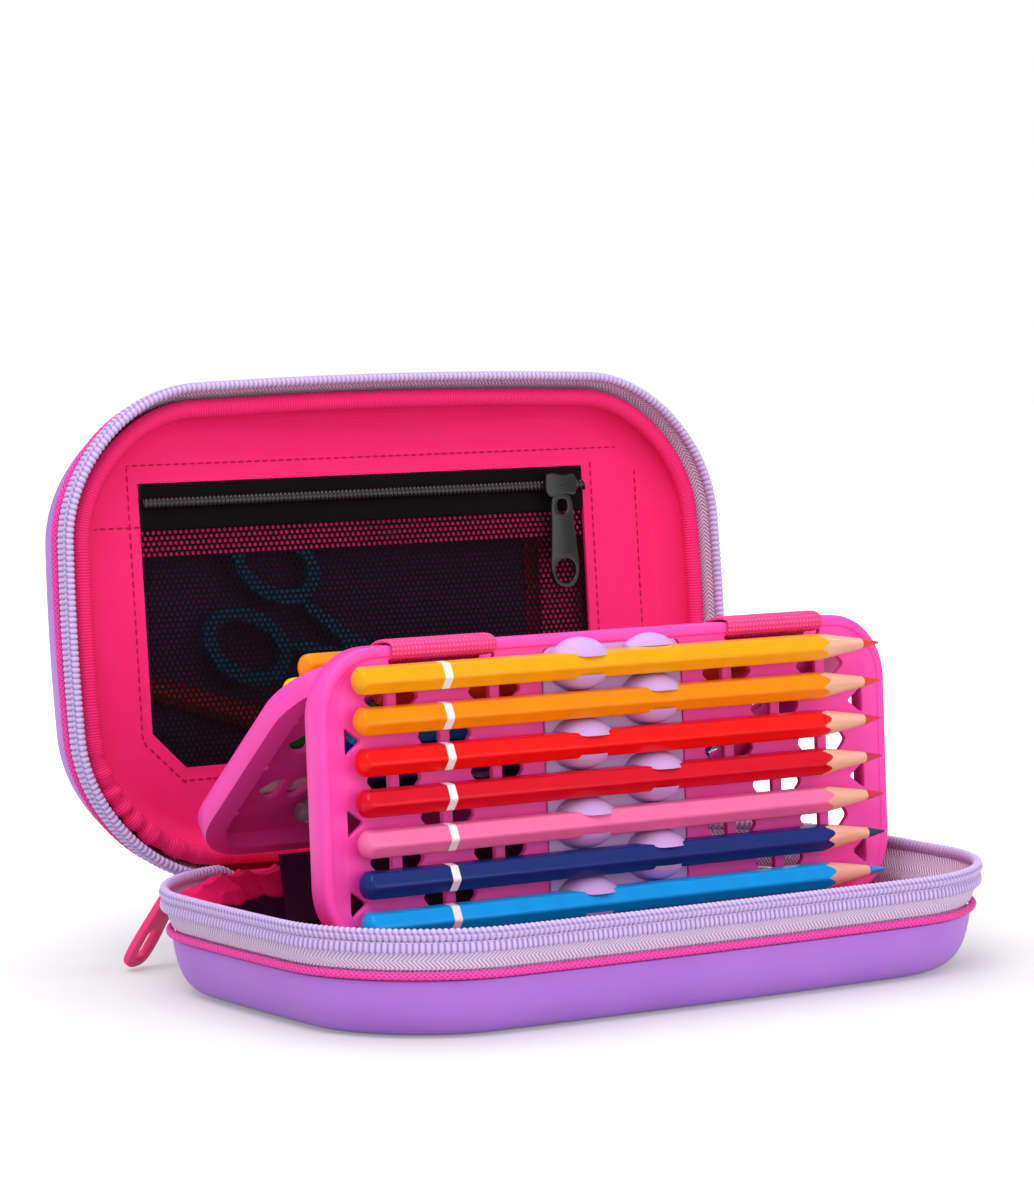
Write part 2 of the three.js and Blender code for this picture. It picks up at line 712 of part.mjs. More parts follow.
const loopGeometry = webbingLoop();
[["loop_left", -1], ["loop_right", 1]].forEach(([name, side]) => {
  const loop = addMesh(pencilCase, name, loopGeometry, cloth(colour.webbingPink));
  loop.position.set(trayShift + side * loopSpacing, apexY, apexZ);
});

// Lid: drawn closed over the base, then swung open about the fold
const lid = new THREE.Group();
lid.position.set(0, lidHingeY, lidHingeZ);
lid.rotation.x = -lidOpenAngle;
pencilCase.add(lid);
const lidClosed = new THREE.Group();
lidClosed.position.set(0, -lidHingeY, -lidHingeZ);
lid.add(lidClosed);

addMesh(lidClosed, "lid_shell", turnedOver(dish(shellProfile)), shellMaterial);
addMesh(lidClosed, "lid_lining", turnedOver(dish(liningProfile)), liningMaterial);
addMesh(lidClosed, "lid_piping", turnedOver(piping), cloth(colour.pipingPink));
addMesh(lidClosed, "lid_zip_tape", turnedOver(zipTape), tapeMaterial);
addMesh(lidClosed, "lid_zip_teeth", turnedOver(zipTeeth), teethMaterial);
const lidSpine = spineHalf(lidHingeZ + spineFoldGap, 2 * meetingHeight - tapeBottom);
addMesh(lidClosed, "lid_spine", lidSpine, liningMaterial);

// Mesh pocket across the lid, as heights over the closed base
const pocketFace = 43.6;
const pocketThickness = 1;
const pocketInset = liningInset + liningThickness + clearance;
const windowLeft = -79;
const windowRight = 70;
const windowFront = -42;
const windowBack = 37;
const windowCornerCut = 10;
const bindingRadius = 2;
const bindingInset = pocketInset + bindingRadius;

function planShape(inset) {
  return new THREE.Shape(planRing(inset).map(([x, y]) => new THREE.Vector2(x, y)));
}

function windowPath(grow) {
  const [left, right] = [windowLeft - grow, windowRight + grow];
  const [front, back] = [windowFront - grow, windowBack + grow];
  const points = [
    [left, front], [right, front], [right, back - windowCornerCut], [right - windowCornerCut, back],
    [left + windowCornerCut, back], [left, back - windowCornerCut],
  ];
  return points.map(([x, y]) => new THREE.Vector2(x, y));
}

const pocketShape = planShape(pocketInset);
pocketShape.holes.push(new THREE.Path(windowPath(0)));
const pocketFrame = moved(slab(pocketShape, pocketThickness), 0, 0, pocketFace);
addMesh(lidClosed, "pocket_frame", pocketFrame, liningMaterial);

const bindingHeight = pocketFace - clearance - bindingRadius;
const binding = band(roundSection(bindingInset, bindingHeight, bindingRadius, 6), true);
addMesh(lidClosed, "lid_binding", binding, cloth(colour.pipingPink));

// The net behind the window: a sheet with staggered diamond gaps
const netMargin = 3;
const netThickness = 0.6;
const netColumns = 15;
const netRows = 7;
const netGapShare = 0.84;

function netSheet() {
  const sheet = new THREE.Shape(windowPath(netMargin));
  const stepX = (windowRight - windowLeft) / netColumns;
  const stepY = (windowBack - windowFront) / netRows;
  for (let row = 0; row < netRows; row += 1) {
    const shift = row % 2 ? 0.5 : 0;
    for (let column = 0; column < netColumns - (row % 2); column += 1) {
      const x = windowLeft + stepX * (column + 0.5 + shift);
      const y = windowFront + stepY * (row + 0.5);
      const nearCorner = y > windowBack - windowCornerCut - stepY / 2;
      if (nearCorner && (x < windowLeft + windowCornerCut || x > windowRight - windowCornerCut)) continue;
      const [gapX, gapY] = [(stepX * netGapShare) / 2, (stepY * netGapShare) / 2];
      const gap = [[x - gapX, y], [x, y - gapY], [x + gapX, y], [x, y + gapY]];
      sheet.holes.push(new THREE.Path(gap.map(([gx, gy]) => new THREE.Vector2(gx, gy))));
    }
  }
  return slab(sheet, netThickness);
}

const netHeight = pocketFace + pocketThickness + clearance;
addMesh(lidClosed, "pocket_mesh", moved(netSheet(), 0, 0, netHeight), cloth(colour.meshBlack));

// Pocket zip: black tape and teeth along the window's front edge, a slider and a swinging pull
const pocketZipY = -36.5;
const pocketTapeWidth = 10;
const pocketTapeThickness = 0.6;
const pocketTeethRadius = 0.55;
const pocketZipLength = windowRight - windowLeft;
const pocketZipMiddle = (windowRight + windowLeft) / 2;
const pocketTapeHeight = pocketFace - clearance - pocketTapeThickness;
const pocketTeethHeight = pocketTapeHeight - clearance - pocketTeethRadius;
const pocketSliderX = 60;
const pocketSliderLength = 11;
const pocketSliderWidth = 7.5;
const pocketSliderRadius = 2;
const pocketSliderThickness = 1;
const pocketSliderHeight = pocketTeethHeight - pocketTeethRadius - clearance - pocketSliderThickness;
const blackMaterial = plastic(colour.black, 0.4);

const pocketTapeLength = pocketZipLength + 2 * netMargin;
const pocketTape = new THREE.BoxGeometry(pocketTapeLength, pocketTapeWidth, pocketTapeThickness);
moved(pocketTape, pocketZipMiddle, pocketZipY, pocketTapeHeight + pocketTapeThickness / 2);
addMesh(lidClosed, "pocket_zip_tape", pocketTape, cloth(colour.black));
const pocketTeeth = gripCylinder(pocketTeethRadius, pocketZipLength);
moved(pocketTeeth, pocketZipMiddle, pocketZipY, pocketTeethHeight);
addMesh(lidClosed, "pocket_zip_teeth", pocketTeeth, blackMaterial);

const pocketSliderShape = roundedRectangle(pocketSliderLength, pocketSliderWidth, pocketSliderRadius);
const pocketSlider = slab(pocketSliderShape, pocketSliderThickness);
moved(pocketSlider, pocketSliderX, pocketZipY, pocketSliderHeight);
addMesh(lidClosed, "pocket_slider", pocketSlider, blackMaterial);

const pocketPullLength = 26;
const pocketPullWidth = 10;
const pocketPullHole = 3.9;
const pocketPullThickness = 1;
const pocketPullTop = pocketZipY + pocketSliderWidth / 2 + clearance;
const pocketPullShape = roundedRectangle(pocketPullWidth, pocketPullLength, pocketPullWidth / 2 - skim);
const ringHole = new THREE.Path();
ringHole.absarc(0, pocketPullLength / 2 - pocketPullWidth / 2, pocketPullHole, 0, 2 * Math.PI, true);
pocketPullShape.holes.push(ringHole);
const pocketPull = slab(pocketPullShape, pocketPullThickness);
moved(pocketPull, pocketSliderX, pocketPullTop + pocketPullLength / 2, pocketSliderHeight + skim);
addMesh(lidClosed, "pocket_pull", pocketPull, blackMaterial);

// Small scissors and a red marker lie in the pocket, behind the net
const scissorsX = -6;
const scissorsY = 10;
const scissorsTurn = THREE.MathUtils.degToRad(26);
const bladeLength = 60;
const bladeHalfWidth = 4.5;
const bladeTipHalfWidth = 0.5;
const bladeThickness = 1.2;
const handleReach = 38;
const handleSpread = 12.5;
const handleHalfLength = 15;
const handleHalfWidth = 10.5;
const handleRing = 4;
const handleThickness = 2.4;
const ringSegments = 8;
const rivetRadius = 2;
const contentsFloor = netHeight + netThickness + clearance;

function ellipseShape(x, y, halfLength, halfWidth) {
  const shape = new THREE.Shape();
  shape.absellipse(x, y, halfLength, halfWidth, 0, 2 * Math.PI, false);
  return shape;
}

function outline(points) {
  return new THREE.Shape(points.map(([x, y]) => new THREE.Vector2(x, y)));
}

// One half: its blade crosses the rivet to the far side from its finger ring
function scissorHalf(side, bladeLift) {
  const bladeShape = outline([
    [-2 * bladeHalfWidth, side * bladeHalfWidth], [-2 * bladeHalfWidth, 0], [0, -side * bladeHalfWidth],
    [bladeLength, -side * bladeTipHalfWidth], [bladeLength / 2, (side * bladeHalfWidth) / 2],
    [0, side * bladeHalfWidth],
  ]);
  const shankShape = outline([
    [-bladeHalfWidth, 0], [-bladeHalfWidth, side * bladeHalfWidth],
    [-handleReach + handleHalfLength / 2, side * (handleSpread - handleRing)],
    [-handleReach + handleHalfLength, side * (handleSpread - 2 * handleRing)],
  ]);
  const ringShape = ellipseShape(-handleReach, side * handleSpread, handleHalfLength, handleHalfWidth);
  const holeSize = [handleHalfLength - handleRing, handleHalfWidth - handleRing];
  const hole = slab(ellipseShape(-handleReach, side * handleSpread, ...holeSize), cutDepth, ringSegments);
  const blade = toSolid(moved(slab(bladeShape, bladeThickness), 0, 0, bladeLift));
  const shank = toSolid(moved(slab(shankShape, bladeThickness), 0, 0, bladeLift));
  const ring = toSolid(slab(ringShape, handleThickness, ringSegments));
  return blade.add(shank).add(ring.subtract(toSolid(moved(hole, 0, 0, -cutDepth / 2))));
}

function rivetSolid(radius, length) {
  const rivet = new THREE.CylinderGeometry(radius, radius, length, channelSides);
  rivet.rotateX(Math.PI / 2);
  return toSolid(moved(rivet, 0, 0, length / 2));
}

const upperLift = bladeThickness + clearance / 2;
const rivetLength = upperLift + bladeThickness;
const lowerHalf = scissorHalf(1, 0).add(rivetSolid(rivetRadius, rivetLength));
const upperHalf = scissorHalf(-1, upperLift).subtract(rivetSolid(rivetRadius + clearance, cutDepth));
[["scissors_half_a", lowerHalf], ["scissors_half_b", upperHalf]].forEach(([name, solid]) => {
  const half = addMesh(lidClosed, name, toGeometry(solid), plastic(colour.scissorTeal, 0.35));
  half.position.set(scissorsX, scissorsY, contentsFloor);
  half.rotation.z = scissorsTurn;
});

const markerRadius = 3.8;
const markerLength = 118;
const markerX = -76;
const markerY = 14;
const markerTurn = THREE.MathUtils.degToRad(18);
const marker = lathe([
  [0, 0], [markerRadius - capStep, 0], [markerRadius, capStep], [markerRadius, capLength],
  [markerRadius - capStep, capLength], [markerRadius - capStep, markerLength], [0, markerLength],
], turnedSides);
marker.rotateZ(-Math.PI / 2);
const markerMesh = addMesh(lidClosed, "red_marker", marker, plastic(colour.markerRed, 0.3));
markerMesh.position.set(markerX, markerY, 2 * meetingHeight - liningFloor - clearance - markerRadius);
markerMesh.rotation.z = markerTurn;

export default pencilCase;
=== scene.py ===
import math

import bmesh
import bpy
import numpy as np
from mathutils import Matrix, Vector
from mathutils.geometry import delaunay_2d_cdt


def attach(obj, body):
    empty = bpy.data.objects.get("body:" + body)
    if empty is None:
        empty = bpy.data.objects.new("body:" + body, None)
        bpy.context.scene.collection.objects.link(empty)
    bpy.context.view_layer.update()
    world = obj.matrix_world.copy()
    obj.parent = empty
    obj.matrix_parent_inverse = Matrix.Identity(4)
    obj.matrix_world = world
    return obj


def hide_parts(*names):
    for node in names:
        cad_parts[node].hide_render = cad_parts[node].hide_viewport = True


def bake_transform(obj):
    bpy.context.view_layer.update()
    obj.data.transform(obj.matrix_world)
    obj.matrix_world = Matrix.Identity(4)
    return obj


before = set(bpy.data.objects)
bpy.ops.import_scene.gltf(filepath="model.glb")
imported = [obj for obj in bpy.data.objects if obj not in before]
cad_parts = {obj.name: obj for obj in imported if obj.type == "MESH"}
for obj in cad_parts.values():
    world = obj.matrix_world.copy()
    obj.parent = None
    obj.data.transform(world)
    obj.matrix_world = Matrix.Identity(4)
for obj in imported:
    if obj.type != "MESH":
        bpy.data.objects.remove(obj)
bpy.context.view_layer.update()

MM = 0.001
TAU = 2 * math.pi

# Driving sizes, as the solids have them
case_half_length, case_half_depth = 107.0, 67.0
corner_radius, side_bow = 38.0, 3.0
meeting_height = 29.3
lid_fold = (68.0, 24.0)
lid_angle = math.radians(95)
apex = (-5.158, 86.092)
front_turn, rear_turn = math.radians(87), math.radians(41)
tray_gap = 0.25
tray_length, tray_height, tray_corner, tray_shift = 185.0, 79.5, 18.0, 3.5
front_top, rear_top = 8.0, -2.0
panel_inner, panel_outer, rim_outer = 4.6, 6.4, 6.9
pencil_axis = 10.85
row_drop, row_pitch = 8.25, 10.5
pencil_start = -84.0
pen_drop, pen_pitch, pen_axis, pen_start = 8.25, 8.904, 0.7, -65.0
loop_place, loop_width, loop_thickness = 54.0, 32.0, 1.1


# Meshes
def grid_faces(rows, columns, closed_rows, closed_columns):
    """Quads of a grid of points, as indexes of points and as indexes of an unwrapped grid for the UV map."""
    r, c = np.meshgrid(
        np.arange(rows if closed_rows else rows - 1),
        np.arange(columns if closed_columns else columns - 1), indexing="ij")
    wide = columns + (1 if closed_columns else 0)
    corners, unwrapped = [], []
    for down, right in ((0, 0), (0, 1), (1, 1), (1, 0)):
        corners.append(((r + down) % rows) * columns + (c + right) % columns)
        unwrapped.append((r + down) * wide + c + right)
    return np.stack(corners, -1).reshape(-1, 4), np.stack(unwrapped, -1).reshape(-1, 4)


class Form:
    """Grids gathered into one mesh. Each grid's points are rows by columns, in millimetres."""

    def __init__(self):
        self.points, self.loops, self.sizes, self.uvs, self.marks, self.count = [], [], [], [], [], 0

    def grid(self, points, uv=None, rows=False, columns=False, caps=(False, False), mark=None):
        """Adds a grid. rows and columns say which way it closes on itself. caps close its first and last row
        with a fan about their middle. uv is in millimetres on the unwrapped grid, and mark is one value for
        each point."""
        points = np.asarray(points, float)
        high, wide = points.shape[:2]
        faces, flat = grid_faces(high, wide, rows, columns)
        if uv is None:
            uv = np.zeros((high + rows, wide + columns, 2))
        uv = uv.reshape(-1, 2)
        self._add(points.reshape(-1, 3), faces, uv[flat.reshape(-1)], mark)
        for wanted, row in zip(caps, (points[0], points[-1])):
            if wanted:
                middle = row.mean(0)
                ring = np.arange(wide)
                fan = np.stack([ring, (ring + 1) % wide, np.full(wide, wide)], -1)
                cap_mark = None if mark is None else np.zeros(wide + 1)
                self._add(np.vstack([row, middle]), fan, np.zeros((3 * wide, 2)), cap_mark)
        return self

    def _add(self, points, faces, uv, mark):
        """Adds faces of three or four corners, with one uv for each corner."""
        self.points.append(points)
        self.loops.append((faces + self.count).reshape(-1))
        self.sizes.append(np.full(len(faces), faces.shape[1]))
        self.uvs.append(uv)
        self.marks.append(np.zeros(len(points)) if mark is None else np.asarray(mark, float).reshape(-1))
        self.count += len(points)

    def mesh(self, name, smooth=True, merge=1e-6, face_out=True):
        """The mesh in metres. Unless face_out is off, its doubles are merged and its faces turned outwards."""
        points = np.concatenate(self.points) * MM
        loops, sizes = np.concatenate(self.loops), np.concatenate(self.sizes)
        made = bpy.data.meshes.new(name)
        made.vertices.add(len(points))
        made.vertices.foreach_set("co", points.reshape(-1).astype(np.float32))
        made.loops.add(len(loops))
        made.loops.foreach_set("vertex_index", loops.astype(np.int32))
        made.polygons.add(len(sizes))
        made.polygons.foreach_set("loop_start", (np.cumsum(sizes) - sizes).astype(np.int32))
        layer = made.uv_layers.new(name="along")
        layer.data.foreach_set("uv", np.concatenate(self.uvs).reshape(-1).astype(np.float32))
        marks = made.attributes.new("mark", "FLOAT", "POINT")
        marks.data.foreach_set("value", np.concatenate(self.marks).astype(np.float32))
        made.update(calc_edges=True)
        made.validate()
        if face_out:
            tidy_mesh(made, merge)
        made.polygons.foreach_set("use_smooth", np.full(len(made.polygons), smooth))
        return made


def tidy_mesh(mesh, merge=1e-6):
    """Merges points that lie on one another and turns the faces outwards."""
    work = bmesh.new()
    work.from_mesh(mesh)
    bmesh.ops.remove_doubles(work, verts=work.verts, dist=merge)
    bmesh.ops.recalc_face_normals(work, faces=work.faces)
    work.to_mesh(mesh)
    work.free()


def piece(name, made_of, body, material, replaces=(), sharp=None):
    """Puts a form or a mesh in the scene as a piece that rides on a body and may stand for CAD nodes."""
    mesh = made_of.mesh(name) if isinstance(made_of, Form) else made_of
    made = bpy.data.objects.new(name, mesh)
    bpy.context.scene.collection.objects.link(made)
    mesh.materials.clear()
    mesh.materials.append(material)
    if sharp is not None:
        mesh.set_sharp_from_angle(angle=math.radians(sharp))
    if body:
        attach(made, body)
    if replaces:
        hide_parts(*([replaces] if isinstance(replaces, str) else replaces))
    return made


def capped(points, uv=None, mark=None):
    """A form of one grid that closes round each of its rows and is capped at both ends."""
    return Form().grid(points, uv, columns=True, caps=(True, True), mark=mark)


def two_faced(near, far):
    """Two faces of a cloth as one closed grid: a row runs across the near face and back on the far one."""
    return np.concatenate([near, far[:, ::-1]], 1)


def xyz(x, y, z):
    """Points from three arrays or numbers that are spread over one another."""
    return np.stack(np.broadcast_arrays(x, y, z), -1)


def raised(xy, height):
    """Points of x and y with their heights."""
    return np.concatenate([xy, np.broadcast_to(height, xy.shape[:-1])[..., None]], -1)


def spread(down, across):
    """A grid of pairs, the first value down its rows and the second along them, as a UV map has them."""
    return np.stack(np.meshgrid(down, across, indexing="ij"), -1)


def ring_angles(count):
    """A full turn at even steps, without its end."""
    return np.linspace(0, TAU, count, endpoint=False)


def oval(x, y, wide, high, count, lean=0.0):
    """An ellipse about x and y, slanted by the lean."""
    angle = ring_angles(count)
    return np.stack([x + wide * np.cos(angle) + lean * np.sin(angle), y + high * np.sin(angle)], -1)


def heading(line, closed=False):
    """Unit directions along a line, and those square to them on its right."""
    ahead = np.roll(line, -1, 0) - np.roll(line, 1, 0) if closed else np.gradient(line, axis=0)
    ahead /= np.linalg.norm(ahead, axis=1)[:, None]
    return ahead, np.stack([ahead[:, 1], -ahead[:, 0]], -1)


def soften(points, rounds=3, closed=False):
    """Corner cutting: each side keeps its quarter points, so a polygon turns into a smooth curve."""
    points = np.asarray(points, float)
    for _ in range(rounds):
        after = np.roll(points, -1, axis=0)
        if not closed:
            first, last = points[:1], points[-1:]
            points, after = points[:-1], after[:-1]
        cut = np.stack([0.75 * points + 0.25 * after, 0.25 * points + 0.75 * after], 1)
        points = cut.reshape(-1, points.shape[1])
        if not closed:
            points = np.vstack([first, points, last])
    return points


def even(points, spacing, closed=False):
    """The same line with points at an even spacing, and how far along it each one is."""
    points = np.asarray(points, float)
    if closed:
        points = np.vstack([points, points[:1]])
    along = np.concatenate([[0], np.cumsum(np.linalg.norm(np.diff(points, axis=0), axis=1))])
    count = max(3, int(round(along[-1] / spacing)))
    wanted = np.linspace(0, along[-1], count + 1)
    if closed:
        wanted = wanted[:-1]
    return np.stack([np.interp(wanted, along, column) for column in points.T], -1), wanted


def rounded_box(width, height, radius, steps=6):
    """Outline of a rounded rectangle about the origin, anticlockwise."""
    turn = np.linspace(0, math.pi / 2, steps + 1)
    corners = []
    for number, (x, y) in enumerate(((1, 1), (-1, 1), (-1, -1), (1, -1))):
        angle = turn + number * math.pi / 2
        corners.append(np.stack([
            x * (width / 2 - radius) + radius * np.cos(angle),
            y * (height / 2 - radius) + radius * np.sin(angle)], -1))
    return np.concatenate(corners)


def rounded(points, radius, steps=4):
    """A polygon whose corners are curves: each runs from a point before the corner to one after it."""
    points = np.asarray(points, float)
    back_way, on_way = np.roll(points, 1, 0) - points, np.roll(points, -1, 0) - points
    back_length = np.linalg.norm(back_way, axis=1)[:, None]
    on_length = np.linalg.norm(on_way, axis=1)[:, None]
    cut = np.minimum(radius, 0.45 * np.minimum(back_length, on_length))
    start, end = points + back_way / back_length * cut, points + on_way / on_length * cut
    t = np.linspace(0, 1, steps + 1)[None, :, None]
    curve = (1 - t) ** 2 * start[:, None] + 2 * t * (1 - t) * points[:, None] + t ** 2 * end[:, None]
    return curve.reshape(-1, 2)


def ripple_noise(x, y, seed, size):
    """Smooth unevenness of two directions: a sum of slanted sine waves with a fixed seed."""
    rng = np.random.default_rng(seed)
    total = np.zeros(np.broadcast(x, y).shape)
    for _ in range(7):
        turn, stretch, start = rng.uniform(0, TAU), rng.uniform(0.6, 1.9), rng.uniform(0, TAU)
        total += np.sin((x * math.cos(turn) + y * math.sin(turn)) * TAU * stretch / size + start)
    return total / 7


plan_spacing = 2.5


# The case's plan: a rounded rectangle whose sides bow out
def plan_line(spacing, closed):
    """Points round the plan, from the back left corner round the front, with outward directions and how far
    along each one is."""
    cx, cy = case_half_length - side_bow - corner_radius, case_half_depth - side_bow - corner_radius
    turn = np.linspace(0, math.pi / 2, 60)
    line = []
    corners = ((-1, 1, 90), (-1, -1, 180), (1, -1, 270), (1, 1, 0))
    for number, (sx, sy, start) in enumerate(corners):
        angle = np.radians(start) + turn
        line.append(np.stack(
            [sx * cx + corner_radius * np.cos(angle), sy * cy + corner_radius * np.sin(angle)], -1))
        if number < 3 or closed:
            nx, ny, _ = corners[(number + 1) % 4]
            last = line[-1][-1]
            corner_end = np.array([math.cos(angle[-1]), math.sin(angle[-1])])
            goal = np.array([nx * cx, ny * cy]) + corner_radius * corner_end
            share = np.linspace(0, 1, 42)[1:-1, None]
            line.append(last + (goal - last) * share)
    line = np.concatenate(line)
    half = np.array([case_half_length - side_bow, case_half_depth - side_bow])
    x, y = line[:, 0], line[:, 1]
    bow_x = side_bow * (1 - (y / half[1]) ** 2) * np.sign(x) * np.abs(x / half[0]) ** 3
    bow_y = side_bow * (1 - (x / half[0]) ** 2) * np.sign(y) * np.abs(y / half[1]) ** 3
    line = line + np.stack([bow_x, bow_y], -1)
    line, along = even(line, spacing, closed)
    return line, heading(line, closed)[1], along


def swept(section, spacing=plan_spacing, closed=True, section_closed=True, relief=None, lid=False,
          sunk=False):
    """A section of inset and height carried round the plan. relief(along, around) moves each point outwards
    of the section, lid turns the whole over and opens it, and sunk lowers the two ends of an open sweep."""
    line, out, along = plan_line(spacing, closed)
    section = np.asarray(section, float)
    inset = np.broadcast_to(section[None, :, 0], (len(line), len(section))).copy()
    height = np.broadcast_to(section[None, :, 1], inset.shape).copy()
    if relief is not None:
        away = section - section.mean(0)
        away /= np.linalg.norm(away, axis=1)[:, None]
        around = np.arctan2(away[:, 1], -away[:, 0])
        shift = relief(along[:, None], around[None, :])
        inset += shift * away[None, :, 0]
        height += shift * away[None, :, 1]
    points = raised(line[:, None, :] - out[:, None, :] * inset[:, :, None], height)
    if sunk:
        points = sink_ends(points, along)
    if lid:
        points = to_lid(points)
    girth = np.vstack([section, section[:1]]) if section_closed else section
    across = np.concatenate([[0], np.cumsum(np.linalg.norm(np.diff(girth, axis=0), axis=1))])
    stations = np.append(along, along[-1] + (along[1] - along[0])) if closed else along
    ends = section_closed and not closed
    uv = spread(stations, across)
    return Form().grid(points, uv, rows=closed, columns=section_closed, caps=(ends, ends))


def sink_ends(points, along, reach=8.0, depth=4.0):
    """Lowers both ends of an open sweep, by the square of how far each point is inside the last stretch."""
    near = np.minimum(along, along[-1] - along)
    drop = depth * np.clip(1 - near / reach, 0, 1) ** 2
    points[..., 2] -= drop[:, None]
    return points


def to_lid(points):
    """Places drawn over the base to the open lid: turned over at the meeting plane and round the fold."""
    points = np.array(points, float)
    y = points[..., 1] - lid_fold[0]
    z = 2 * meeting_height - points[..., 2] - lid_fold[1]
    c, s = math.cos(-lid_angle), math.sin(-lid_angle)
    points[..., 1] = lid_fold[0] + y * c - z * s
    points[..., 2] = lid_fold[1] + y * s + z * c
    return points


def closed_lid(points):
    """Places on the closed lid, as heights over the closed base, to the open lid."""
    points = np.array(points, float)
    points[..., 2] = 2 * meeting_height - points[..., 2]
    return to_lid(points)


def front_frame(points):
    """The front tray's own x, y up from the apex line and z out, to places in the scene."""
    points = np.asarray(points, float)
    y, z = points[..., 1], points[..., 2] + tray_gap
    c, s = math.cos(front_turn), math.sin(front_turn)
    return np.stack([tray_shift + points[..., 0], apex[0] + y * c - z * s, apex[1] + y * s + z * c], -1)


def rear_frame(points):
    """The rear tray's own x, y up from the apex line and z out, to places in the scene."""
    points = np.asarray(points, float)
    y, z = points[..., 1], points[..., 2] + tray_gap
    c, s = math.cos(rear_turn), math.sin(rear_turn)
    return np.stack([tray_shift - points[..., 0], apex[0] - (y * c - z * s), apex[1] + y * s + z * c], -1)


# Materials
def linear(text):
    """A written colour as the shader takes it."""
    parts = [int(text[i:i + 2], 16) / 255 for i in (1, 3, 5)]
    return tuple(p / 12.92 if p <= 0.04045 else ((p + 0.055) / 1.055) ** 2.4 for p in parts) + (1.0,)


class Finish:
    """A material: its shader, and the nodes that colour it and give it relief."""

    def __init__(self, name, colour, roughness, **sockets):
        self.material = bpy.data.materials.new(name)
        self.material.use_nodes = True
        self.nodes, self.links = self.material.node_tree.nodes, self.material.node_tree.links
        self.shader = self.nodes["Principled BSDF"]
        self.shader.inputs["Base Color"].default_value = linear(colour)
        self.shader.inputs["Roughness"].default_value = roughness
        for key, value in sockets.items():
            self.shader.inputs[key.replace("_", " ")].default_value = value

    def put(self, socket, value):
        """Sets a number on a socket, or leads a node's output to it."""
        if isinstance(value, (int, float)):
            socket.default_value = value
        else:
            self.links.new(value, socket)

    def place(self):
        """Where a point of the surface lies in its piece, in metres."""
        return self.nodes.new("ShaderNodeTexCoord").outputs["Object"]

    def along(self, axis):
        """The piece's own UV map, in millimetres: 0 along it and 1 across it."""
        layer = self.nodes.new("ShaderNodeUVMap")
        layer.uv_map = "along"
        parts = self.nodes.new("ShaderNodeSeparateXYZ")
        self.links.new(layer.outputs[0], parts.inputs[0])
        return parts.outputs[axis]

    def mark(self):
        """The value that a piece's points carry."""
        read = self.nodes.new("ShaderNodeAttribute")
        read.attribute_name = "mark"
        return read.outputs["Fac"]

    def calc(self, kind, a, b=0.0, c=0.0):
        """One step of arithmetic on numbers and outputs."""
        node = self.nodes.new("ShaderNodeMath")
        node.operation = kind
        for socket, value in zip(node.inputs, (a, b, c)):
            self.put(socket, value)
        return node.outputs[0]

    def wave(self, value, pitch, turn=0.0):
        """A sine wave of that pitch, from 0 to 1."""
        phase = self.calc("MULTIPLY_ADD", value, TAU / pitch, turn)
        return self.calc("MULTIPLY_ADD", self.calc("SINE", phase), 0.5, 0.5)

    def grain(self, size_mm, detail=2.0, stretch=(1, 1, 1)):
        """Noise whose features are about that size."""
        scaled = self.nodes.new("ShaderNodeMapping")
        scaled.inputs["Scale"].default_value = [x / size_mm / MM for x in stretch]
        self.links.new(self.place(), scaled.inputs[0])
        noise = self.nodes.new("ShaderNodeTexNoise")
        noise.inputs["Scale"].default_value = 1.0
        noise.inputs["Detail"].default_value = detail
        self.links.new(scaled.outputs[0], noise.inputs["Vector"])
        return noise.outputs["Fac"]

    def ramp(self, factor, low, high, start=0.0, end=1.0):
        """A colour that goes from low to high as the factor goes from start to end."""
        ramp = self.nodes.new("ShaderNodeValToRGB")
        first, last = ramp.color_ramp.elements
        first.color, last.color = linear(low), linear(high)
        first.position, last.position = start, end
        self.links.new(factor, ramp.inputs[0])
        return ramp.outputs[0]

    def tint(self, factor, low, high, start=0.0, end=1.0):
        """Colours the surface from low to high as the factor goes from start to end."""
        colour = self.ramp(factor, low, high, start, end)
        self.links.new(colour, self.shader.inputs["Base Color"])
        return colour

    def over(self, factor, below, colour):
        """Lays a colour, written or from a node, over what is below where the factor is 1."""
        mix = self.nodes.new("ShaderNodeMix")
        mix.data_type = "RGBA"
        lower, upper, mixed = mix.inputs[6], mix.inputs[7], mix.outputs[2]
        self.put(mix.inputs[0], factor)
        self.links.new(below, lower)
        if isinstance(colour, str):
            upper.default_value = linear(colour)
        else:
            self.links.new(colour, upper)
        self.links.new(mixed, self.shader.inputs["Base Color"])
        return mixed

    def relief(self, height, depth_mm, strength=1.0):
        """Raises the surface by the height, from 0 to 1, times the depth."""
        bump = self.nodes.new("ShaderNodeBump")
        bump.inputs["Strength"].default_value = strength
        bump.inputs["Distance"].default_value = depth_mm * MM
        self.links.new(height, bump.inputs["Height"])
        last = self.shader.inputs["Normal"]
        if last.links:
            self.links.new(last.links[0].from_socket, bump.inputs["Normal"])
        self.links.new(bump.outputs[0], last)
        return self

    def shine(self, factor, low, high):
        """Roughness from low to high as the factor goes from 0 to 1."""
        self.links.new(self.calc("MULTIPLY_ADD", factor, high - low, low), self.shader.inputs["Roughness"])
        return self


def moulded(name, colour, deep, roughness=0.35, grain=0.6, depth=0.03, **sockets):
    """Injection-moulded plastic: a faint unevenness of tone and a fine moulded grain."""
    sockets.setdefault("Specular_IOR_Level", 0.22)
    made = Finish(name, colour, roughness, **sockets)
    made.tint(made.grain(28.0, 3.0), deep, colour, 0.25, 0.75)
    made.shine(made.grain(9.0), roughness - 0.05, roughness + 0.08)
    return made.relief(made.grain(grain, 3.0), depth, 0.4).material


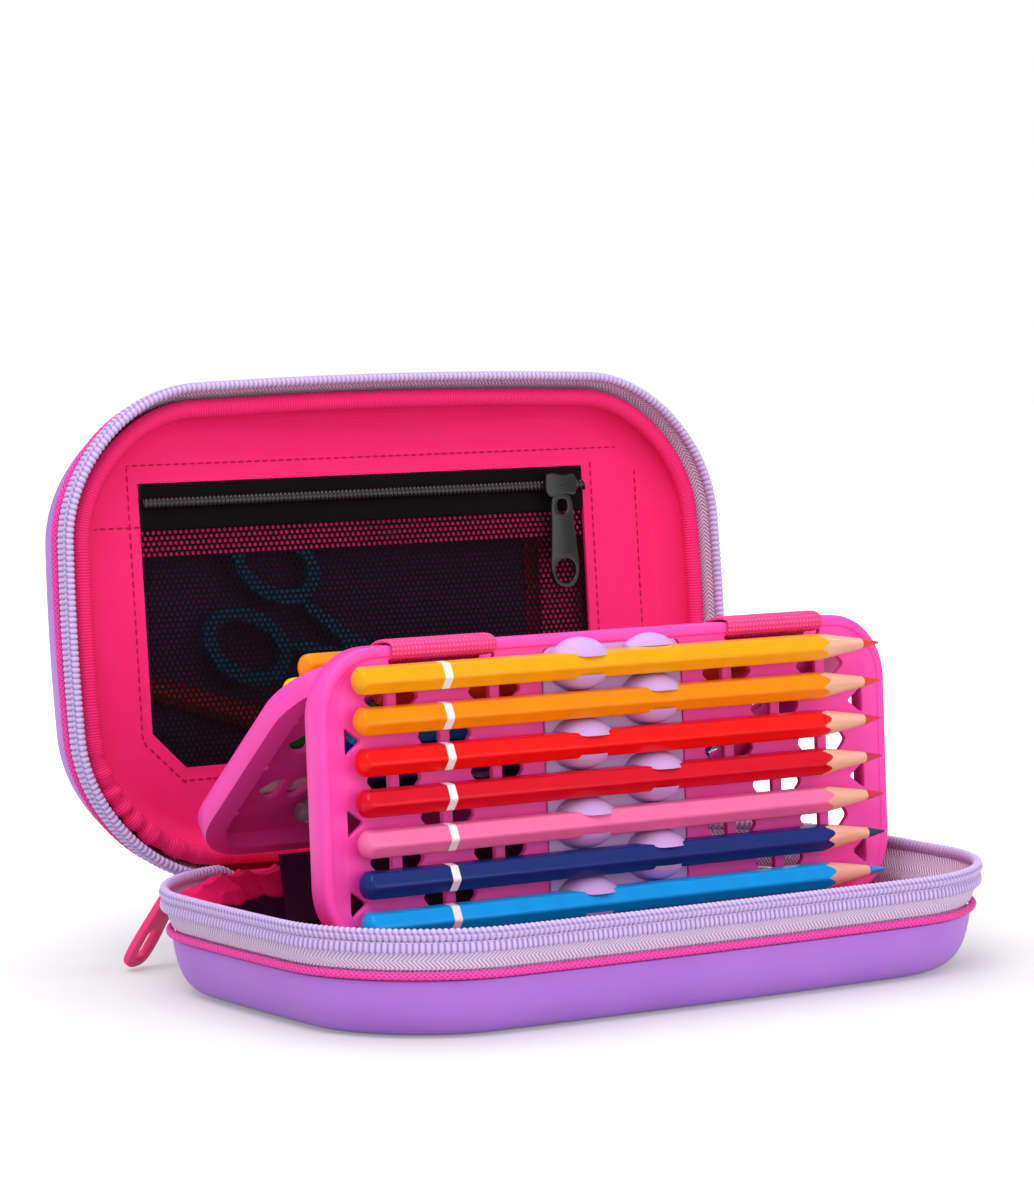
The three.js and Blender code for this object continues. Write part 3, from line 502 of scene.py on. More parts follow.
def woven(name, colour, deep, pitch, depth=0.08, roughness=0.7, wrinkle=0.0, by_uv=False):
    """Cloth: crossing threads at the pitch, with tone along them, and soft wrinkles."""
    made = Finish(name, colour, roughness, Specular_IOR_Level=0.12)
    if by_uv:
        first, second = made.along(0), made.along(1)
    else:
        parts = made.nodes.new("ShaderNodeSeparateXYZ")
        made.links.new(made.place(), parts.inputs[0])
        first = made.calc("MULTIPLY", parts.outputs[0], 1 / MM)
        second = made.calc("MULTIPLY", made.calc("ADD", parts.outputs[1], parts.outputs[2]), 1 / MM)
    threads = made.calc("MULTIPLY", made.wave(first, pitch), made.wave(second, pitch))
    tone = made.calc("MULTIPLY_ADD", threads, 0.5, made.calc("MULTIPLY", made.grain(16.0, 3.0), 0.5))
    made.tint(tone, deep, colour, 0.1, 0.75)
    made.relief(threads, depth, 0.6)
    if wrinkle:
        made.relief(made.grain(14.0, 2.0), wrinkle, 0.7)
    return made.material


shell_violet = moulded("moulded_violet_cloth", "#bb7fe2", "#b173da", 0.45, 0.5, 0.03, Sheen_Weight=0.04)
lining_pink = woven("pink_lining_cloth", "#fd2478", "#f01a68", 0.5, 0.05, 0.62, 0.5)
panel_pink = woven("pink_pocket_cloth", "#ff2f80", "#fb2474", 0.5, 0.05, 0.6, 0.35)
# Dark plum for the floor cloth, the gusset and the flap; on the floor its darkness is painted shade of the
# case's inside
plum_cloth_and_shade = woven("plum_cloth_with_floor_shade", "#54204a", "#3c1434", 0.6, 0.06, 0.8, 0.3)
tray_pink = moulded("hot_pink_plastic", "#ff52bc", "#fe48b2", 0.36, 0.8, 0.02)
clip_lilac = moulded("lilac_plastic", "#d0a9e4", "#c79edc", 0.34, 0.8, 0.015)
pull_pink = moulded("coral_rubber", "#ff4888", "#fa3c7c", 0.38, 0.7, 0.02)
zip_black = moulded("black_enamel", "#161418", "#0e0c10", 0.22, 1.2, 0.02, Specular_IOR_Level=0.4)
# Dark red thread: partly the thread's own colour, partly painted shade of the stitch grooves
thread_pink = woven("stitching_pink", "#d8164e", "#a80c3c", 0.5, 0.05, 0.6)
scissor_teal = moulded("teal_plastic", "#1e5f92", "#174c78", 0.3)
mesh_black = woven("black_net_cord", "#0e0810", "#070408", 0.6, 0.05, 0.8)
tape_black = woven("black_zip_tape", "#0b080c", "#060407", 0.8, 0.1, 0.85)
# Dark plum for the sheet behind the net: painted shade of the lining seen through it
backing_shade_plum = woven("plum_shade_backing_cloth", "#6e3366", "#4f2149", 0.8, 0.06, 0.9, 0.4)


def braided():
    """Piping cord: slanted strands that cross, with painted shade in the grooves between them."""
    made = Finish("braided_pink_cord", "#ff4fae", 0.45, Specular_IOR_Level=0.15)
    along, across, pitch = made.along(0), made.along(1), 1.4
    lean = made.wave(made.calc("ADD", along, across), pitch)
    back = made.wave(made.calc("SUBTRACT", along, across), pitch)
    strands = made.calc("MAXIMUM", lean, back)
    # Painted shade: darker where the strands dip, in the grooves between them
    made.tint(strands, "#f42c92", "#ff58bc", 0.3, 1.0)
    return made.relief(strands, 0.25, 0.9).material


def ribbed():
    """Binding tape: fine ribs across it."""
    made = Finish("ribbed_pink_binding", "#fb2878", 0.55, Specular_IOR_Level=0.12)
    ribs = made.wave(made.along(0), 0.8)
    made.tint(ribs, "#ea185e", "#ff307e", 0.0, 0.7)
    made.relief(made.grain(6.0), 0.3, 0.6)
    return made.relief(ribs, 0.14, 0.8).material


def chevron():
    """Zip tape: a herringbone of slanted threads that turns back every few millimetres."""
    made = Finish("herringbone_lilac_tape", "#dcc3ea", 0.62, Specular_IOR_Level=0.2)
    row_width, slope, pitch = 2.0, 0.9, 1.15
    fold = made.calc("PINGPONG", made.along(1), row_width)
    threads = made.wave(made.calc("MULTIPLY_ADD", fold, slope, made.along(0)), pitch)
    made.tint(threads, "#c4a6dc", "#f8e8fe", 0.0, 0.75)
    return made.relief(threads, 0.24, 1.0).material


def coil_lilac():
    """Nylon zip coil, a little translucent, with painted shade between the turns."""
    made = Finish("nylon_lilac_coil", "#d6bce8", 0.36, Specular_IOR_Level=0.3)
    # Painted shade: the deep tone where the mark is low, between the turns and in the groove between the rows
    made.tint(made.mark(), "#8464ae", "#d2bbeb", 0.1, 0.9)
    return made.relief(made.grain(0.9), 0.03, 0.4).material


def webbing():
    """Woven webbing: rows of dotted bumps."""
    made = Finish("woven_pink_webbing", "#f85aa0", 0.6, Specular_IOR_Level=0.15)
    pitch = 1.15
    dots = made.calc("MULTIPLY", made.wave(made.along(0), pitch), made.wave(made.along(1), pitch))
    made.tint(dots, "#e83a80", "#fe62a4", 0.0, 0.6)
    return made.relief(dots, 0.3, 1.0).material


def lacquered(name, colour, roughness=0.22):
    """A pencil: lacquer with a white ring, and bare wood with grain where mark is above 0."""
    ring_start, ring_end, coat, wood_roughness = 25.6, 28.0, 0.1, 0.75
    made = Finish(name, colour, roughness, Coat_Weight=coat, Coat_Roughness=0.06, Specular_IOR_Level=0.12)
    along = made.along(0)
    after, before = made.calc("GREATER_THAN", along, ring_start), made.calc("LESS_THAN", along, ring_end)
    lacquer = made.tint(made.grain(6.0), darker(colour, 0.95), colour, 0.2, 0.7)
    ringed = made.over(made.calc("MULTIPLY", after, before), lacquer, "#f6f1ee")
    wood = made.ramp(made.grain(1.1, 4.0, (0.08, 1, 1)), "#e29a80", "#fcc6ac")
    bare = made.calc("GREATER_THAN", made.mark(), 0.0)
    made.over(bare, ringed, wood)
    made.shine(bare, roughness, wood_roughness)
    made.links.new(made.calc("MULTIPLY_ADD", bare, -coat, coat), made.shader.inputs["Coat Weight"])
    return made.relief(made.grain(1.0, 2.0, (0.1, 1, 1)), 0.02, 0.4).material


def darker(colour, share):
    """A written colour, darker by that share."""
    return "#" + "".join(f"{int(int(colour[i:i + 2], 16) * share):02x}" for i in (1, 3, 5))


def waxy(name, colour):
    """A coloured lead: waxy, with fine marks from the sharpener."""
    made = Finish(name, colour, 0.45)
    made.tint(made.grain(1.0), darker(colour, 0.86), colour, 0.2, 0.8)
    return made.relief(made.grain(0.5, 3.0), 0.06, 0.6).material


def pen_plastic(name, colour):
    """A fibre pen: one colour all over, a little darker at the very end of its plug."""
    made = Finish(name, colour, 0.3, Specular_IOR_Level=0.25)
    made.tint(made.along(0), darker(colour, 0.8), colour, 0.0, 1.0)
    return made.relief(made.grain(1.5), 0.02, 0.3).material


piping_pink, binding_pink, tape_lilac = braided(), ribbed(), chevron()
teeth_lilac, webbing_pink = coil_lilac(), webbing()

# The camera at the photograph's place: its optical axis passes right of and below the picture's middle
azimuth, elevation, roll = math.radians(-34.91), math.radians(6.82), math.radians(-0.36)
distance, aim = 1149.1, (0.0, 0.1, 60.2)
focal_px, axis_px, picture_px = 4270.6, (576.5, 754.7), (1034.0, 1200.0)
back = Vector((
    math.sin(azimuth) * math.cos(elevation), -math.cos(azimuth) * math.cos(elevation), math.sin(elevation)))
right = Vector((0, 0, 1)).cross(back).normalized()
above = back.cross(right)
right, above = (
    math.cos(roll) * right + math.sin(roll) * above, -math.sin(roll) * right + math.cos(roll) * above)
camera = bpy.data.objects.new("camera", bpy.data.cameras.new("camera"))
bpy.context.scene.collection.objects.link(camera)
camera.matrix_world = Matrix.Translation((Vector(aim) + back * distance) * MM) @ Matrix(
    (right, above, back)).transposed().to_4x4()
camera.data.sensor_width = 36.0
camera.data.lens = focal_px / picture_px[1] * camera.data.sensor_width
camera.data.shift_x = (picture_px[0] / 2 - axis_px[0]) / picture_px[1]
camera.data.shift_y = (axis_px[1] - picture_px[1] / 2) / picture_px[1]
camera.data.clip_start, camera.data.clip_end = 0.05, 20.0
bpy.context.scene.camera = camera

# Sections of inset and height, from the outer face inwards
shell_section = np.vstack([
    [[30, 0], [14, 0]],
    soften([
        [14, 0], [10, 0.1], [6.6, 1.2], [4.0, 3.4], [2.2, 6.6], [1.1, 10.6], [0.5, 14.2], [0.45, 15.2]], 3),
    [[0.55, 15.45], [0.75, 15.5], [2.0, 15.5], [2.25, 15.4]],
    soften([[2.3, 15.2], [2.7, 12], [3.3, 9], [5.2, 5.3], [8.6, 2.6], [12.5, 1.5], [20, 1.5]], 3)])
lining_section = np.vstack([
    [[30, 1.8], [14, 1.8]],
    soften([[13, 1.8], [9.1, 3.0], [5.8, 5.7], [3.8, 9.2], [2.8, 13], [2.7, 15.0]], 3),
    [[2.75, 15.2], [3.45, 15.2]],
    soften([[3.5, 15.0], [3.6, 13], [4.7, 9.4], [6.7, 6.3], [9.8, 3.5], [14, 2.4], [18, 2.3]], 3)])
piping_section = oval(-0.2, 16.9, 1.1, 1.1, 12)
tape_section = np.vstack([
    [[1.3, 15.85], [1.35, 18.3]],
    soften([[0.25, 18.4], [-0.2, 19.6], [-1.2, 22], [-1.9, 24.6], [-2.1, 25.7]], 2),
    soften([[-1.2, 25.75], [-0.6, 24.4], [0.7, 22], [1.9, 19.4], [2.3, 18.2], [2.35, 15.85]], 2)])
coil_inset, coil_height, coil_radius, coil_pitch = -1.6, 27.35, 1.42, 1.5
coil_step = coil_pitch / 6
coil_section = oval(coil_inset, coil_height, coil_radius, 1.75, 18)
stem_section = oval(-2.0, 24.3, 0.75, 1.55, 12, 0.3)
shell_levels, shell_shares = ((0.0, 30), (1.5, 20)), (1.0, 0.6, 0.25)
lining_levels, lining_shares = ((1.8, 30), (2.3, 18)), (1.0, 0.8, 0.6, 0.4, 0.2)


def cord_strands(along, around):
    """The piping's radius swells and shrinks along a slant, as a laid cord's does."""
    pitch, swell, sunk = 2.1, 0.07, 0.05
    return swell * np.sin(TAU * along / pitch + around) - sunk


def coil_turns(along, around):
    """Turns of the coil: rounded beads in two staggered rows, with a groove between the rows."""
    lean, bead_depth, groove_depth, groove_width = 0.35, 0.42, 0.28, 0.09
    stagger = 0.5 / (1 + np.exp(-7 * np.sin(around - lean)))
    bead = np.abs(np.cos(np.pi * (along / coil_pitch + stagger)))
    groove = np.exp(-(np.sin((around - lean) / 2) / groove_width) ** 2)
    return -bead_depth * (1 - bead ** 0.7) - groove_depth * groove


def stem_turns(along, around):
    """Loops of the coil where they are sewn to the tape: upright ridges, one for each turn."""
    ridge_depth = 0.55
    ridge = np.abs(np.cos(np.pi * (along / coil_pitch + 0.25))) ** 0.55
    return -ridge_depth * (1 - ridge) + 0 * around


def coil_shade_marks(along):
    """How far out each point of the coil is, for the painted shade between the turns."""
    around = np.arctan2(coil_section[:, 1] - coil_height, coil_inset - coil_section[:, 0])
    return 1 + coil_turns(along[:, None], around[None, :]) / 0.55


def levelled(form, levels, shares, lid):
    """Closes the open middle of a swept section. At each height and inset, the plan's rings are drawn in to
    shares of their reach, and the last is capped."""
    line, out, _ = plan_line(plan_spacing, True)
    for height, inset in levels:
        edge = raised(line - out * inset, height)
        rings = np.stack([edge * [share, share, 1] for share in shares])
        form.grid(to_lid(rings) if lid else rings, columns=True, caps=(False, True))
    return form


# The moulded shell, lining, piping and zip of the base and of the lid
for part, lid in (("base", False), ("lid", True)):
    shell = levelled(swept(shell_section, lid=lid, section_closed=False), shell_levels, shell_shares, lid)
    piece(f"{part}_moulded_shell", shell, part, shell_violet, f"{part}_shell")
    lining = levelled(
        swept(lining_section, lid=lid, section_closed=False), lining_levels, lining_shares, lid)
    lining = piece(f"{part}_cloth_lining", lining, part, lining_pink, f"{part}_lining")
    piping = swept(piping_section, 0.5, relief=cord_strands, lid=lid)
    piece(f"{part}_braided_piping", piping, part, piping_pink, f"{part}_piping")
    tape = swept(tape_section, 1.2, closed=False, lid=lid)
    piece(f"{part}_woven_tape", tape, part, tape_lilac, f"{part}_zip_tape", 50)
    stations = plan_line(coil_step, False)[2]
    coil = swept(coil_section, coil_step, closed=False, relief=coil_turns, lid=lid, sunk=True)
    # Marks for the coil's painted shade between its turns
    coil.marks[0] = coil_shade_marks(stations).reshape(-1)
    piece(f"{part}_zip_coil", coil, part, teeth_lilac, f"{part}_zip_teeth")
    stems = swept(stem_section, coil_step, closed=False, relief=stem_turns, lid=lid, sunk=True)
    # The stems' marks: painted shade between their ridges
    stems.marks[0] = np.repeat(1 + stem_turns(stations, 0) / 0.4, len(stem_section))
    piece(f"{part}_coil_stems", stems, part, teeth_lilac)

# A dark plum cloth on the base's floor, its darkness painted shade of the case's inside: the plan's rings
# drawn in to the middle, uneven over a flat back
floor_inset, floor_back, floor_front = 17, 2.35, 2.42
line, out, _ = plan_line(4.0, True)
shares = np.linspace(1, 0, 24)[:, None, None]
flat = (line - out * floor_inset)[None] * shares
swell = 0.25 * (1 - shares[..., 0] ** 8) * (1 + ripple_noise(flat[..., 0], flat[..., 1], 4, 45))
floor_points = np.concatenate([raised(flat, floor_front + swell), raised(flat[::-1], floor_back)])
floor_form = Form().grid(floor_points, columns=True, rows=True)
piece("floor_painted_shade", floor_form, "base", plum_cloth_and_shade)


# The lining's slack, bunched up in the back left corner where the lid folds
def bunched_cloth(first, last, thickness=0.5):
    """A strip along the plan's back left corner. Its crest stands at the rim, it slumps inwards to share 0.5
    and falls to the floor by share 1. Its folds are ridges, 1 less the size of a sine, that run away from
    the wall and wander, and they fade at both ends."""
    spots = np.arange(-52, 37)
    at = np.linspace(0, len(spots) - 1, 3 * len(spots))
    line, out = (
        np.stack([np.interp(at, np.arange(len(spots)), column) for column in values[spots].T], -1)
        for values in plan_line(1.0, True)[:2])
    u = at[:, None] / at[-1]
    turn = np.clip((at[:, None] - 50) / 14, 0, 1)
    v = np.linspace(first, last, 50)[None, :]
    crown, fall = np.minimum(2 * v, 1), np.maximum(2 * v - 1, 0)
    swell = np.sin(math.pi * u) ** 0.5
    wander = ripple_noise(40 * u, 20 * v, 51, 22)
    ridge = (1 - np.abs(np.sin(8 * math.pi * u + 2.4 * wander + 1.4 * v))) ** 1.3
    cross = (1 - np.abs(np.sin(1.7 * math.pi * crown + 3.0 * wander + 5 * u))) ** 1.6
    fold = swell * (2.0 * ridge + 1.5 * cross - 1.2)
    inset = 0.8 + (6.4 + 3.4 * turn) * crown + (1.2 + 3.4 * turn) * fall + 0.7 * swell * wander * crown
    height = 23.4 + 4.6 * swell * np.sin(math.pi * np.minimum(0.85 * crown + 0.15, 1)) - 2.2 * crown ** 2
    height = height + fold * np.sin(math.pi * np.clip(0.8 * crown + 0.1, 0, 1)) ** 0.5 * (1 - fall)
    height = height - (height - 4.0) * fall ** 0.9
    near = raised(line[:, None, :] - out[:, None, :] * inset[..., None], height)
    return capped(two_faced(near, near - raised(-thickness * out, thickness)[:, None, :]))


# The strip's lower half, where it falls to the floor, takes the floor's dark plum: painted shade
for name, span, cloth in (
        ("bunched_lining", (0.0, 0.52), lining_pink), ("fallen_cloth_painted_shade", (0.52, 1.0), plum_cloth_and_shade)):
    bunch = piece(name, bunched_cloth(*span), "base", cloth, sharp=70)


# Plates with rounded edges
def slab_curve(name, outline, holes, thickness, bevel, resolution=2):
    """A flat plate with holes and rounded edges, in its own plane: a filled curve that is made a mesh."""
    curve = bpy.data.curves.new(name, "CURVE")
    curve.dimensions, curve.fill_mode = "2D", "BOTH"
    curve.extrude, curve.bevel_depth, curve.bevel_resolution = thickness / 2 - bevel, bevel, resolution
    curve.offset = -bevel
    for line in [outline, *holes]:
        spline = curve.splines.new("POLY")
        spline.points.add(len(line) - 1)
        spline.points.foreach_set("co", np.concatenate(
            [np.asarray(line), np.zeros((len(line), 1)), np.ones((len(line), 1))], -1).reshape(-1))
        spline.use_cyclic_u = True
    holder = bpy.data.objects.new(name, curve)
    bpy.context.scene.collection.objects.link(holder)
    mesh = bpy.data.meshes.new_from_object(holder.evaluated_get(bpy.context.evaluated_depsgraph_get()))
    bpy.data.objects.remove(holder)
    bpy.data.curves.remove(curve)
    return mesh


def pierced_plate(outline, holes, thickness, bevel, place, steps=3):
    """A flat plate with holes and rounded edges. Each outline becomes rings: a quarter round from the upper
    face to the wall and another to the lower face. The faces are the Delaunay triangles whose middles lie
    inside an odd number of outlines."""
    form, rims, edges, count = Form(), [], [], 0
    quarter = np.linspace(math.pi / 2, 0, steps + 1)
    share = np.concatenate([1 - np.cos(quarter), 1 - np.cos(quarter[::-1])])
    upper = thickness / 2 - bevel + bevel * np.sin(quarter)
    heights = np.concatenate([upper, -upper[::-1]])
    for number, loop in enumerate([outline, *holes]):
        loop = np.asarray(loop, float)
        after = np.roll(loop, -1, 0)
        area = np.sum(loop[:, 0] * after[:, 1] - after[:, 0] * loop[:, 1])
        if (area < 0) == (number == 0):
            loop = loop[::-1]
        inward = -heading(loop, True)[1]
        rows = loop[None] + bevel * inward[None] * share[:, None, None]
        form.grid(place(raised(rows, heights[:, None])), columns=True)
        rims.append(loop + bevel * inward)
        ring = np.arange(len(loop))
        edges.append(np.stack([ring, (ring + 1) % len(loop)], -1) + count)
        count += len(loop)
    flat, edges = np.concatenate(rims), np.concatenate(edges)
    made = delaunay_2d_cdt(flat.tolist(), edges.tolist(), [], 0, 1e-5)
    points, faces = np.array([tuple(p) for p in made[0]]), np.array(made[2])
    centres = points[faces].mean(1)
    a, b = flat[edges[:, 0]], flat[edges[:, 1]]
    spans = (a[None, :, 1] > centres[:, None, 1]) != (b[None, :, 1] > centres[:, None, 1])
    drop = np.where(np.abs(b[:, 1] - a[:, 1]) < 1e-9, 1.0, b[:, 1] - a[:, 1])
    reach = a[None, :, 0] + (centres[:, None, 1] - a[None, :, 1]) * (b[:, 0] - a[:, 0])[None] / drop[None]
    kept = faces[np.sum(spans & (reach > centres[:, None, 0]), 1) % 2 == 1]
    for height, order in ((thickness / 2, 1), (-thickness / 2, -1)):
        form._add(place(raised(points, height)), kept[:, ::order], np.zeros((kept.size, 2)), None)
    return form


def place_mesh(mesh, place):
    """Moves each point of a mesh made in millimetres by the given place, to metres."""
    points = np.empty(3 * len(mesh.vertices))
    mesh.vertices.foreach_get("co", points)
    moved = place(points.reshape(-1, 3)) * MM
    mesh.vertices.foreach_set("co", moved.reshape(-1))
    tidy_mesh(mesh)
    return mesh


# Moulded pull and slider of the main zip
pull_axis, pull_out = np.array([0.900969, 0.433884, 0]), np.array([-0.433884, 0.900969, 0])
pull_pivot = np.array([-85.565, 67.201, 25.3])
pull_turn = math.pi / 2 + math.radians(33)
slider_height, slider_back = 25.4, 2.4


def pull_place(points):
    """The pull's own x across, y along from its pivot and z through it, to the leaning pull."""
    c, s = math.cos(pull_turn), math.sin(pull_turn)
    y, z = points[..., 1:2] * c - points[..., 2:] * s, points[..., 1:2] * s + points[..., 2:] * c
    return pull_pivot + points[..., :1] * pull_axis + y * pull_out + z * [0, 0, 1]


def slider_place(points):
    """The slider's own x along the zip, y out of the case and z up, from its middle."""
    middle = pull_pivot * [1, 1, 0] + [0, 0, slider_height] - pull_out * slider_back
    return middle + points[..., :1] * pull_axis + points[..., 1:2] * pull_out + points[..., 2:] * [0, 0, 1]


def block(width, depth, height, roundness, place, centre=(0, 0, 0)):
    """A pillowed block: a superellipse over both angles, which is a box with round edges."""
    u, v = np.linspace(-math.pi / 2, math.pi / 2, 14)[:, None], ring_angles(28)
    cos_u, sin_u, cos_v, sin_v = (
        np.sign(wave) * np.abs(wave) ** roundness for wave in (np.cos(u), np.sin(u), np.cos(v), np.sin(v)))
    points = xyz(width / 2 * cos_u * cos_v, depth / 2 * cos_u * sin_v, height / 2 * sin_u)
    return place(points + np.asarray(centre, float))


pull_line = soften([
    [-3.2, 0], [-3.6, -4], [-4.8, -14], [-5.5, -22], [-4.6, -27.6], [0, -29], [4.6, -27.6], [5.5, -22],
    [4.8, -14], [3.6, -4], [3.2, 0]], 3, True)
slot_line = rounded_box(4.4, 10.5, 2.15) + [0, -20.6]
pull_mesh = place_mesh(slab_curve("pull", pull_line, [slot_line], 2.4, 0.7, 3), pull_place)
piece("moulded_zip_pull", pull_mesh, "zip_pull", pull_pink, "zip_pull", 40)
grips = Form()
for number, y in enumerate(np.arange(-4.5, -14, -1.9)):
    half, face, slant = 2.2 + 0.12 * number, -1.15, 0.35
    x, angle = np.linspace(-half, half, 9)[:, None], ring_angles(10)
    size = 0.42 * np.sqrt(np.maximum(1 - (x / half) ** 4, 0.02))
    ridge = xyz(x, y + 0.8 * size * np.cos(angle) + slant * x, face + size * np.sin(angle))
    grips.grid(pull_place(ridge), columns=True, caps=(True, True))
piece("pull_grip_ridges", grips, "zip_pull", pull_pink)
slider = Form()
slider.grid(block(9.0, 1.5, 6.3, 0.35, slider_place), columns=True)
slider.grid(block(2.6, 1.0, 5.2, 0.5, slider_place, (0, 0.75, 0)), columns=True)
piece("moulded_zip_slider", slider, "base", teeth_lilac, "zip_slider")

# The cloth spine bends over the fold from the base to the lid
spine_reach, spine_face = 66.4, 0.55
spine_half = [[62.9, 13.2], [62.9, 16.6], [64.6, 18.9], [66.9, 21.0]]
spine_far = to_lid([[0, y, z] for y, z in reversed(spine_half)])[:, 1:]
spine_fold = [[67.2, 22.6], [67.3, 24.0], [68.4, 24.75], [70.4, 24.55], [75, 24.3]]
spine_path, spine_along = even(soften(spine_half + spine_fold + spine_far.tolist(), 3), 0.8)
across = np.linspace(-spine_reach, spine_reach, 60)
faces = []
for face in (spine_face, -spine_face):
    line = spine_path + heading(spine_path)[1] * face
    faces.append(xyz(across, line[:, :1], line[:, 1:]))
spine_uv = spread(spine_along, np.concatenate([across, across[::-1], across[:1]]))
spine_cloth = woven("pink_spine_cloth", "#ef2c72", "#dc1f62", 0.7, 0.08, 0.7, by_uv=True)
spine = piece("cloth_spine", Form().grid(two_faced(*faces), spine_uv, columns=True), None, spine_cloth,
              ("base_spine", "lid_spine"), 40)
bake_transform(spine)


# Cloth gusset and flap under the tent, in the same dark plum as the floor's painted shade
def cloth_strip(path, seed):
    """A strip of cloth along a path of y and z: two faces a thickness apart, with soft waves along x."""
    reach, thickness, slack = 60, 0.8, 0.5
    path, along = even(path, 1.0)
    side = heading(path)[1]
    x = np.linspace(-reach, reach, 121)
    share = np.linspace(0, 1, len(path))[:, None]
    wave = slack * np.sin(math.pi * share) * ripple_noise(x[None, :], along[:, None], seed, 50)
    faces = []
    for face in (thickness / 2, -thickness / 2):
        shift = face + wave
        faces.append(xyz(x, path[:, :1] + side[:, :1] * shift, path[:, 1:] + side[:, 1:] * shift))
    return capped(two_faced(*faces))


floor_seam, seam, foot = np.array([52.0, 2.6]), np.array([52.0, 13.0]), np.array([56.350, 32.624])
climb = (foot - seam) / np.linalg.norm(foot - seam)
gusset = piece("cloth_gusset", cloth_strip([floor_seam, seam - [0, 0.5]], 5), "base", plum_cloth_and_shade,
               "tether_gusset", 50)
flap_form = cloth_strip([seam + climb * 0.3, foot - climb * 0.7], 6)
flap = piece("cloth_flap", flap_form, "tether_flap", plum_cloth_and_shade, "tether_flap", 50)

# The trays: a rim carried round a rounded rectangle, and a pierced panel
strip_middle = (2.9 + 76.8) / 2
strip_window, strip_corner = (45.6, 74.5), 4
opening_rows, even_columns, odd_columns = 6, (38.0, 70.0), (54.0,)
opening_reach, opening_bar, top_opening_half, opening_half = 8.6, 3.2, 3.4, 4.4
rim_opening_edge, rim_opening_half, rim_opening_depth = 84.5, 3.7, 5.0


def tray_rim(top):
    """The rim's section of depth and height carried round the tray's outline, wider at the ends than along
    the top and foot. The outline is split at even steps, and the section's inner part leans to the panel."""
    line, _ = even(rounded_box(tray_length, tray_height, tray_corner, 14), 1.5, True)
    inward = -heading(line, True)[1]
    wide = 3.8 + 3.2 * np.abs(inward[:, 0]) ** 2
    section = np.vstack([
        [[0.15, 0.0], [0.0, 0.3], [0.0, 5.6], [0.15, 6.25], [0.5, 6.7], [1.1, 6.9]],
        [[2.1, 6.9], [2.65, 6.8], [2.85, 6.5], [3.0, 6.42]],
        [[-0.5, 6.42], [-0.25, 6.35], [-0.1, 6.1]], [[-0.1, 4.9], [-0.1, 0.3], [-0.3, 0.0]]])
    depth = np.where(section[None, :, 0] < 0, wide[:, None] + section[None, :, 0], section[None, :, 0])
    xy = line[:, None, :] + inward[:, None, :] * depth[:, :, None]
    return raised(xy + [0, top - tray_height / 2], section[:, 1])


def opening(side, x, y, half_height):
    """Half of a pierced hexagon on one side of its upright bar, its corners rounded."""
    inner, shoulder = x + side * opening_bar / 2, x + side * opening_reach * 0.55
    return rounded([[inner, y - half_height], [shoulder, y - half_height], [x + side * opening_reach, y],
                    [shoulder, y + half_height], [inner, y + half_height]], 1.3)


def tray_panel(top, place):
    """The panel with its openings: hexagons in staggered rows, the strip's window and the webbing slots."""
    outline = rounded_box(tray_length - 6.0, tray_height - 5.0, tray_corner - 3.0, 10)
    holes = [rounded_box(*strip_window, strip_corner, 5) + [0, top - strip_middle]]
    for side in (-1, 1):
        holes.append(rounded_box(loop_width + 0.6, 2.2, 0.6, 3) + [side * loop_place, top - 3.95])
        for row in range(opening_rows):
            y = top - row_drop - row_pitch * (row + 0.5)
            high = opening_half if row else top_opening_half
            for centre in (odd_columns if row % 2 else even_columns):
                holes += [opening(half, side * centre, y, high) for half in (-1, 1)]
            if row % 2:
                edge = side * rim_opening_edge
                holes.append(rounded([[edge, y - rim_opening_half], [edge, y + rim_opening_half],
                                      [edge - side * rim_opening_depth, y]], 0.9))
    lift = np.array([0, 0, (panel_inner + panel_outer) / 2])
    return pierced_plate(outline + [0, top - tray_height / 2], holes, panel_outer - panel_inner, 0.4,
                         lambda points: place(points + lift))


trays = (("front", front_top, front_frame), ("rear", rear_top, rear_frame))
for part, top, place in trays:
    rim = Form().grid(place(tray_rim(top)), rows=True, columns=True)
    piece(f"{part}_tray_rim", rim, f"{part}_tray", tray_pink, f"{part}_tray", 45)
    panel = tray_panel(top, place).mesh(f"{part}_tray_panel", merge=2e-6)
    piece(f"{part}_tray_panel", panel, f"{part}_tray", tray_pink, sharp=35)


# Clip strips: a plate, with domed cups that a pencil's channel and mouth divide into a lip and a dish
cup_half_width, cup_stagger = 9.8, 11.5


